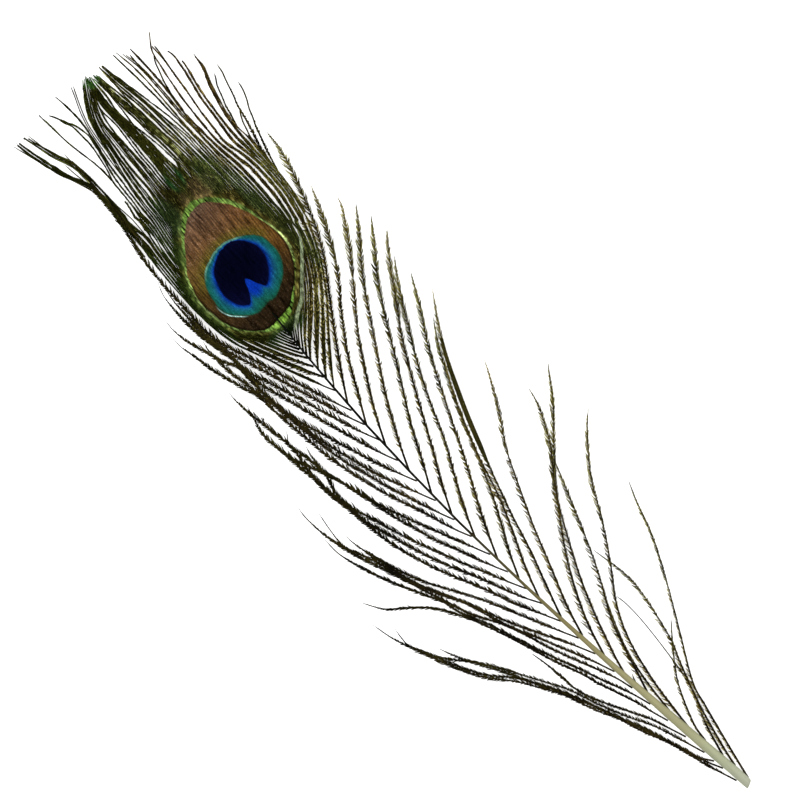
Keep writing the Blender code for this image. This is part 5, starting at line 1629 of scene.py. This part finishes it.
class FEATHER_OT_crown(bpy.types.Operator):
    """Build the crown's strands that stand apart"""

    bl_idname = "feather.crown"
    bl_label = "Crown"

    def execute(self, context):
        sizes, colours = context.scene.feather_sizes, context.scene.feather_colours
        material = barb_material("crown strands", *barb_groups(colours), lift=0.8, roughness=0.5)
        rng = np.random.default_rng(CROWN_SEED)
        strands = Strands()
        for row in CROWN_STRANDS:
            crown_strand(strands, row, rng, sizes)
        add_piece("crown_strands", strands, material)
        return {"FINISHED"}


class FEATHER_OT_studio(bpy.types.Operator):
    """Set up the floor, the light and the camera"""

    bl_idname = "feather.studio"
    bl_label = "Studio"

    def execute(self, context):
        scene, studio = context.scene, context.scene.feather_studio
        half, level = studio.floor_size / 2, CAD_BOX[0].z - FLOOR_GAP
        mesh = bpy.data.meshes.new("floor")
        corners = [(x * half, y * half, level) for x, y in ((-1, -1), (1, -1), (1, 1), (-1, 1))]
        mesh.from_pydata(corners, [], [(0, 1, 2, 3)])
        mesh.materials.append(floor_material(studio))
        floor = bpy.data.objects.new("floor", mesh)
        world = bpy.data.worlds.new("studio")
        world.use_nodes = True
        background = world.node_tree.nodes["Background"]
        background.inputs["Strength"].default_value = studio.sky
        background.inputs["Color"].default_value = (1.0, 1.0, 1.0, 1.0)
        scene.world = world
        lamp = bpy.data.objects.new("lamp", bpy.data.lights.new("lamp", "AREA"))
        lamp.data.energy = studio.lamp
        lamp.data.shape = "DISK"
        lamp.data.size = LAMP_SIZE
        lamp.location = LAMP_PLACE
        lamp.rotation_euler = (-lamp.location).to_track_quat("-Z", "Y").to_euler()
        camera = bpy.data.objects.new("camera", bpy.data.cameras.new("camera"))
        camera.data.lens = studio.lens
        camera.data.sensor_width = CAMERA_SENSOR
        camera.data.clip_start = CAMERA_CLIP
        camera.location = (*CAMERA_PLACE, studio.camera_height)
        camera.rotation_euler = (0.0, 0.0, studio.camera_turn)
        for thing in (floor, lamp, camera):
            scene.collection.objects.link(thing)
        scene.camera = camera
        scene.view_settings.view_transform = "Standard"
        return {"FINISHED"}


class FEATHER_PT_builder(bpy.types.Panel):
    """Sizes, colours and steps of the feather"""

    bl_label = "Peacock Feather"
    bl_idname = "FEATHER_PT_builder"
    bl_space_type = "VIEW_3D"
    bl_region_type = "UI"
    bl_category = "Feather"

    def draw(self, context):
        for group in (context.scene.feather_sizes, context.scene.feather_colours, context.scene.feather_studio):
            box = self.layout.box()
            for name in group.__annotations__:
                box.prop(group, name)
        for operator in OPERATORS:
            self.layout.operator(operator.bl_idname)


OPERATORS = (FEATHER_OT_shaft, FEATHER_OT_loose_barbs, FEATHER_OT_eye, FEATHER_OT_crown, FEATHER_OT_studio)
GROUPS = {"feather_sizes": FeatherSizes, "feather_colours": FeatherColours, "feather_studio": FeatherStudio}


def register():
    """Registers the classes, and adds their settings to the scene."""
    for item in (*GROUPS.values(), *OPERATORS, FEATHER_PT_builder):
        bpy.utils.register_class(item)
    for name, group in GROUPS.items():
        setattr(bpy.types.Scene, name, bpy.props.PointerProperty(type=group))


def unregister():
    """Removes the settings and the classes."""
    for name in GROUPS:
        delattr(bpy.types.Scene, name)
    for item in (FEATHER_PT_builder, *reversed(OPERATORS), *reversed(GROUPS.values())):
        bpy.utils.unregister_class(item)


def clear_startup():
    """Removes the start-up objects, which aren't part of the frame."""
    for thing in list(bpy.data.objects):
        if thing.name in STARTUP_OBJECTS and thing.name not in frame["nodes"]:
            bpy.data.objects.remove(thing, do_unlink=True)


def main():
    """Builds the feather in its studio."""
    register()
    clear_startup()
    bpy.ops.feather.shaft()
    bpy.ops.feather.loose_barbs()
    bpy.ops.feather.eye()
    bpy.ops.feather.crown()
    bpy.ops.feather.studio()


if __name__ == "__main__":
    main()
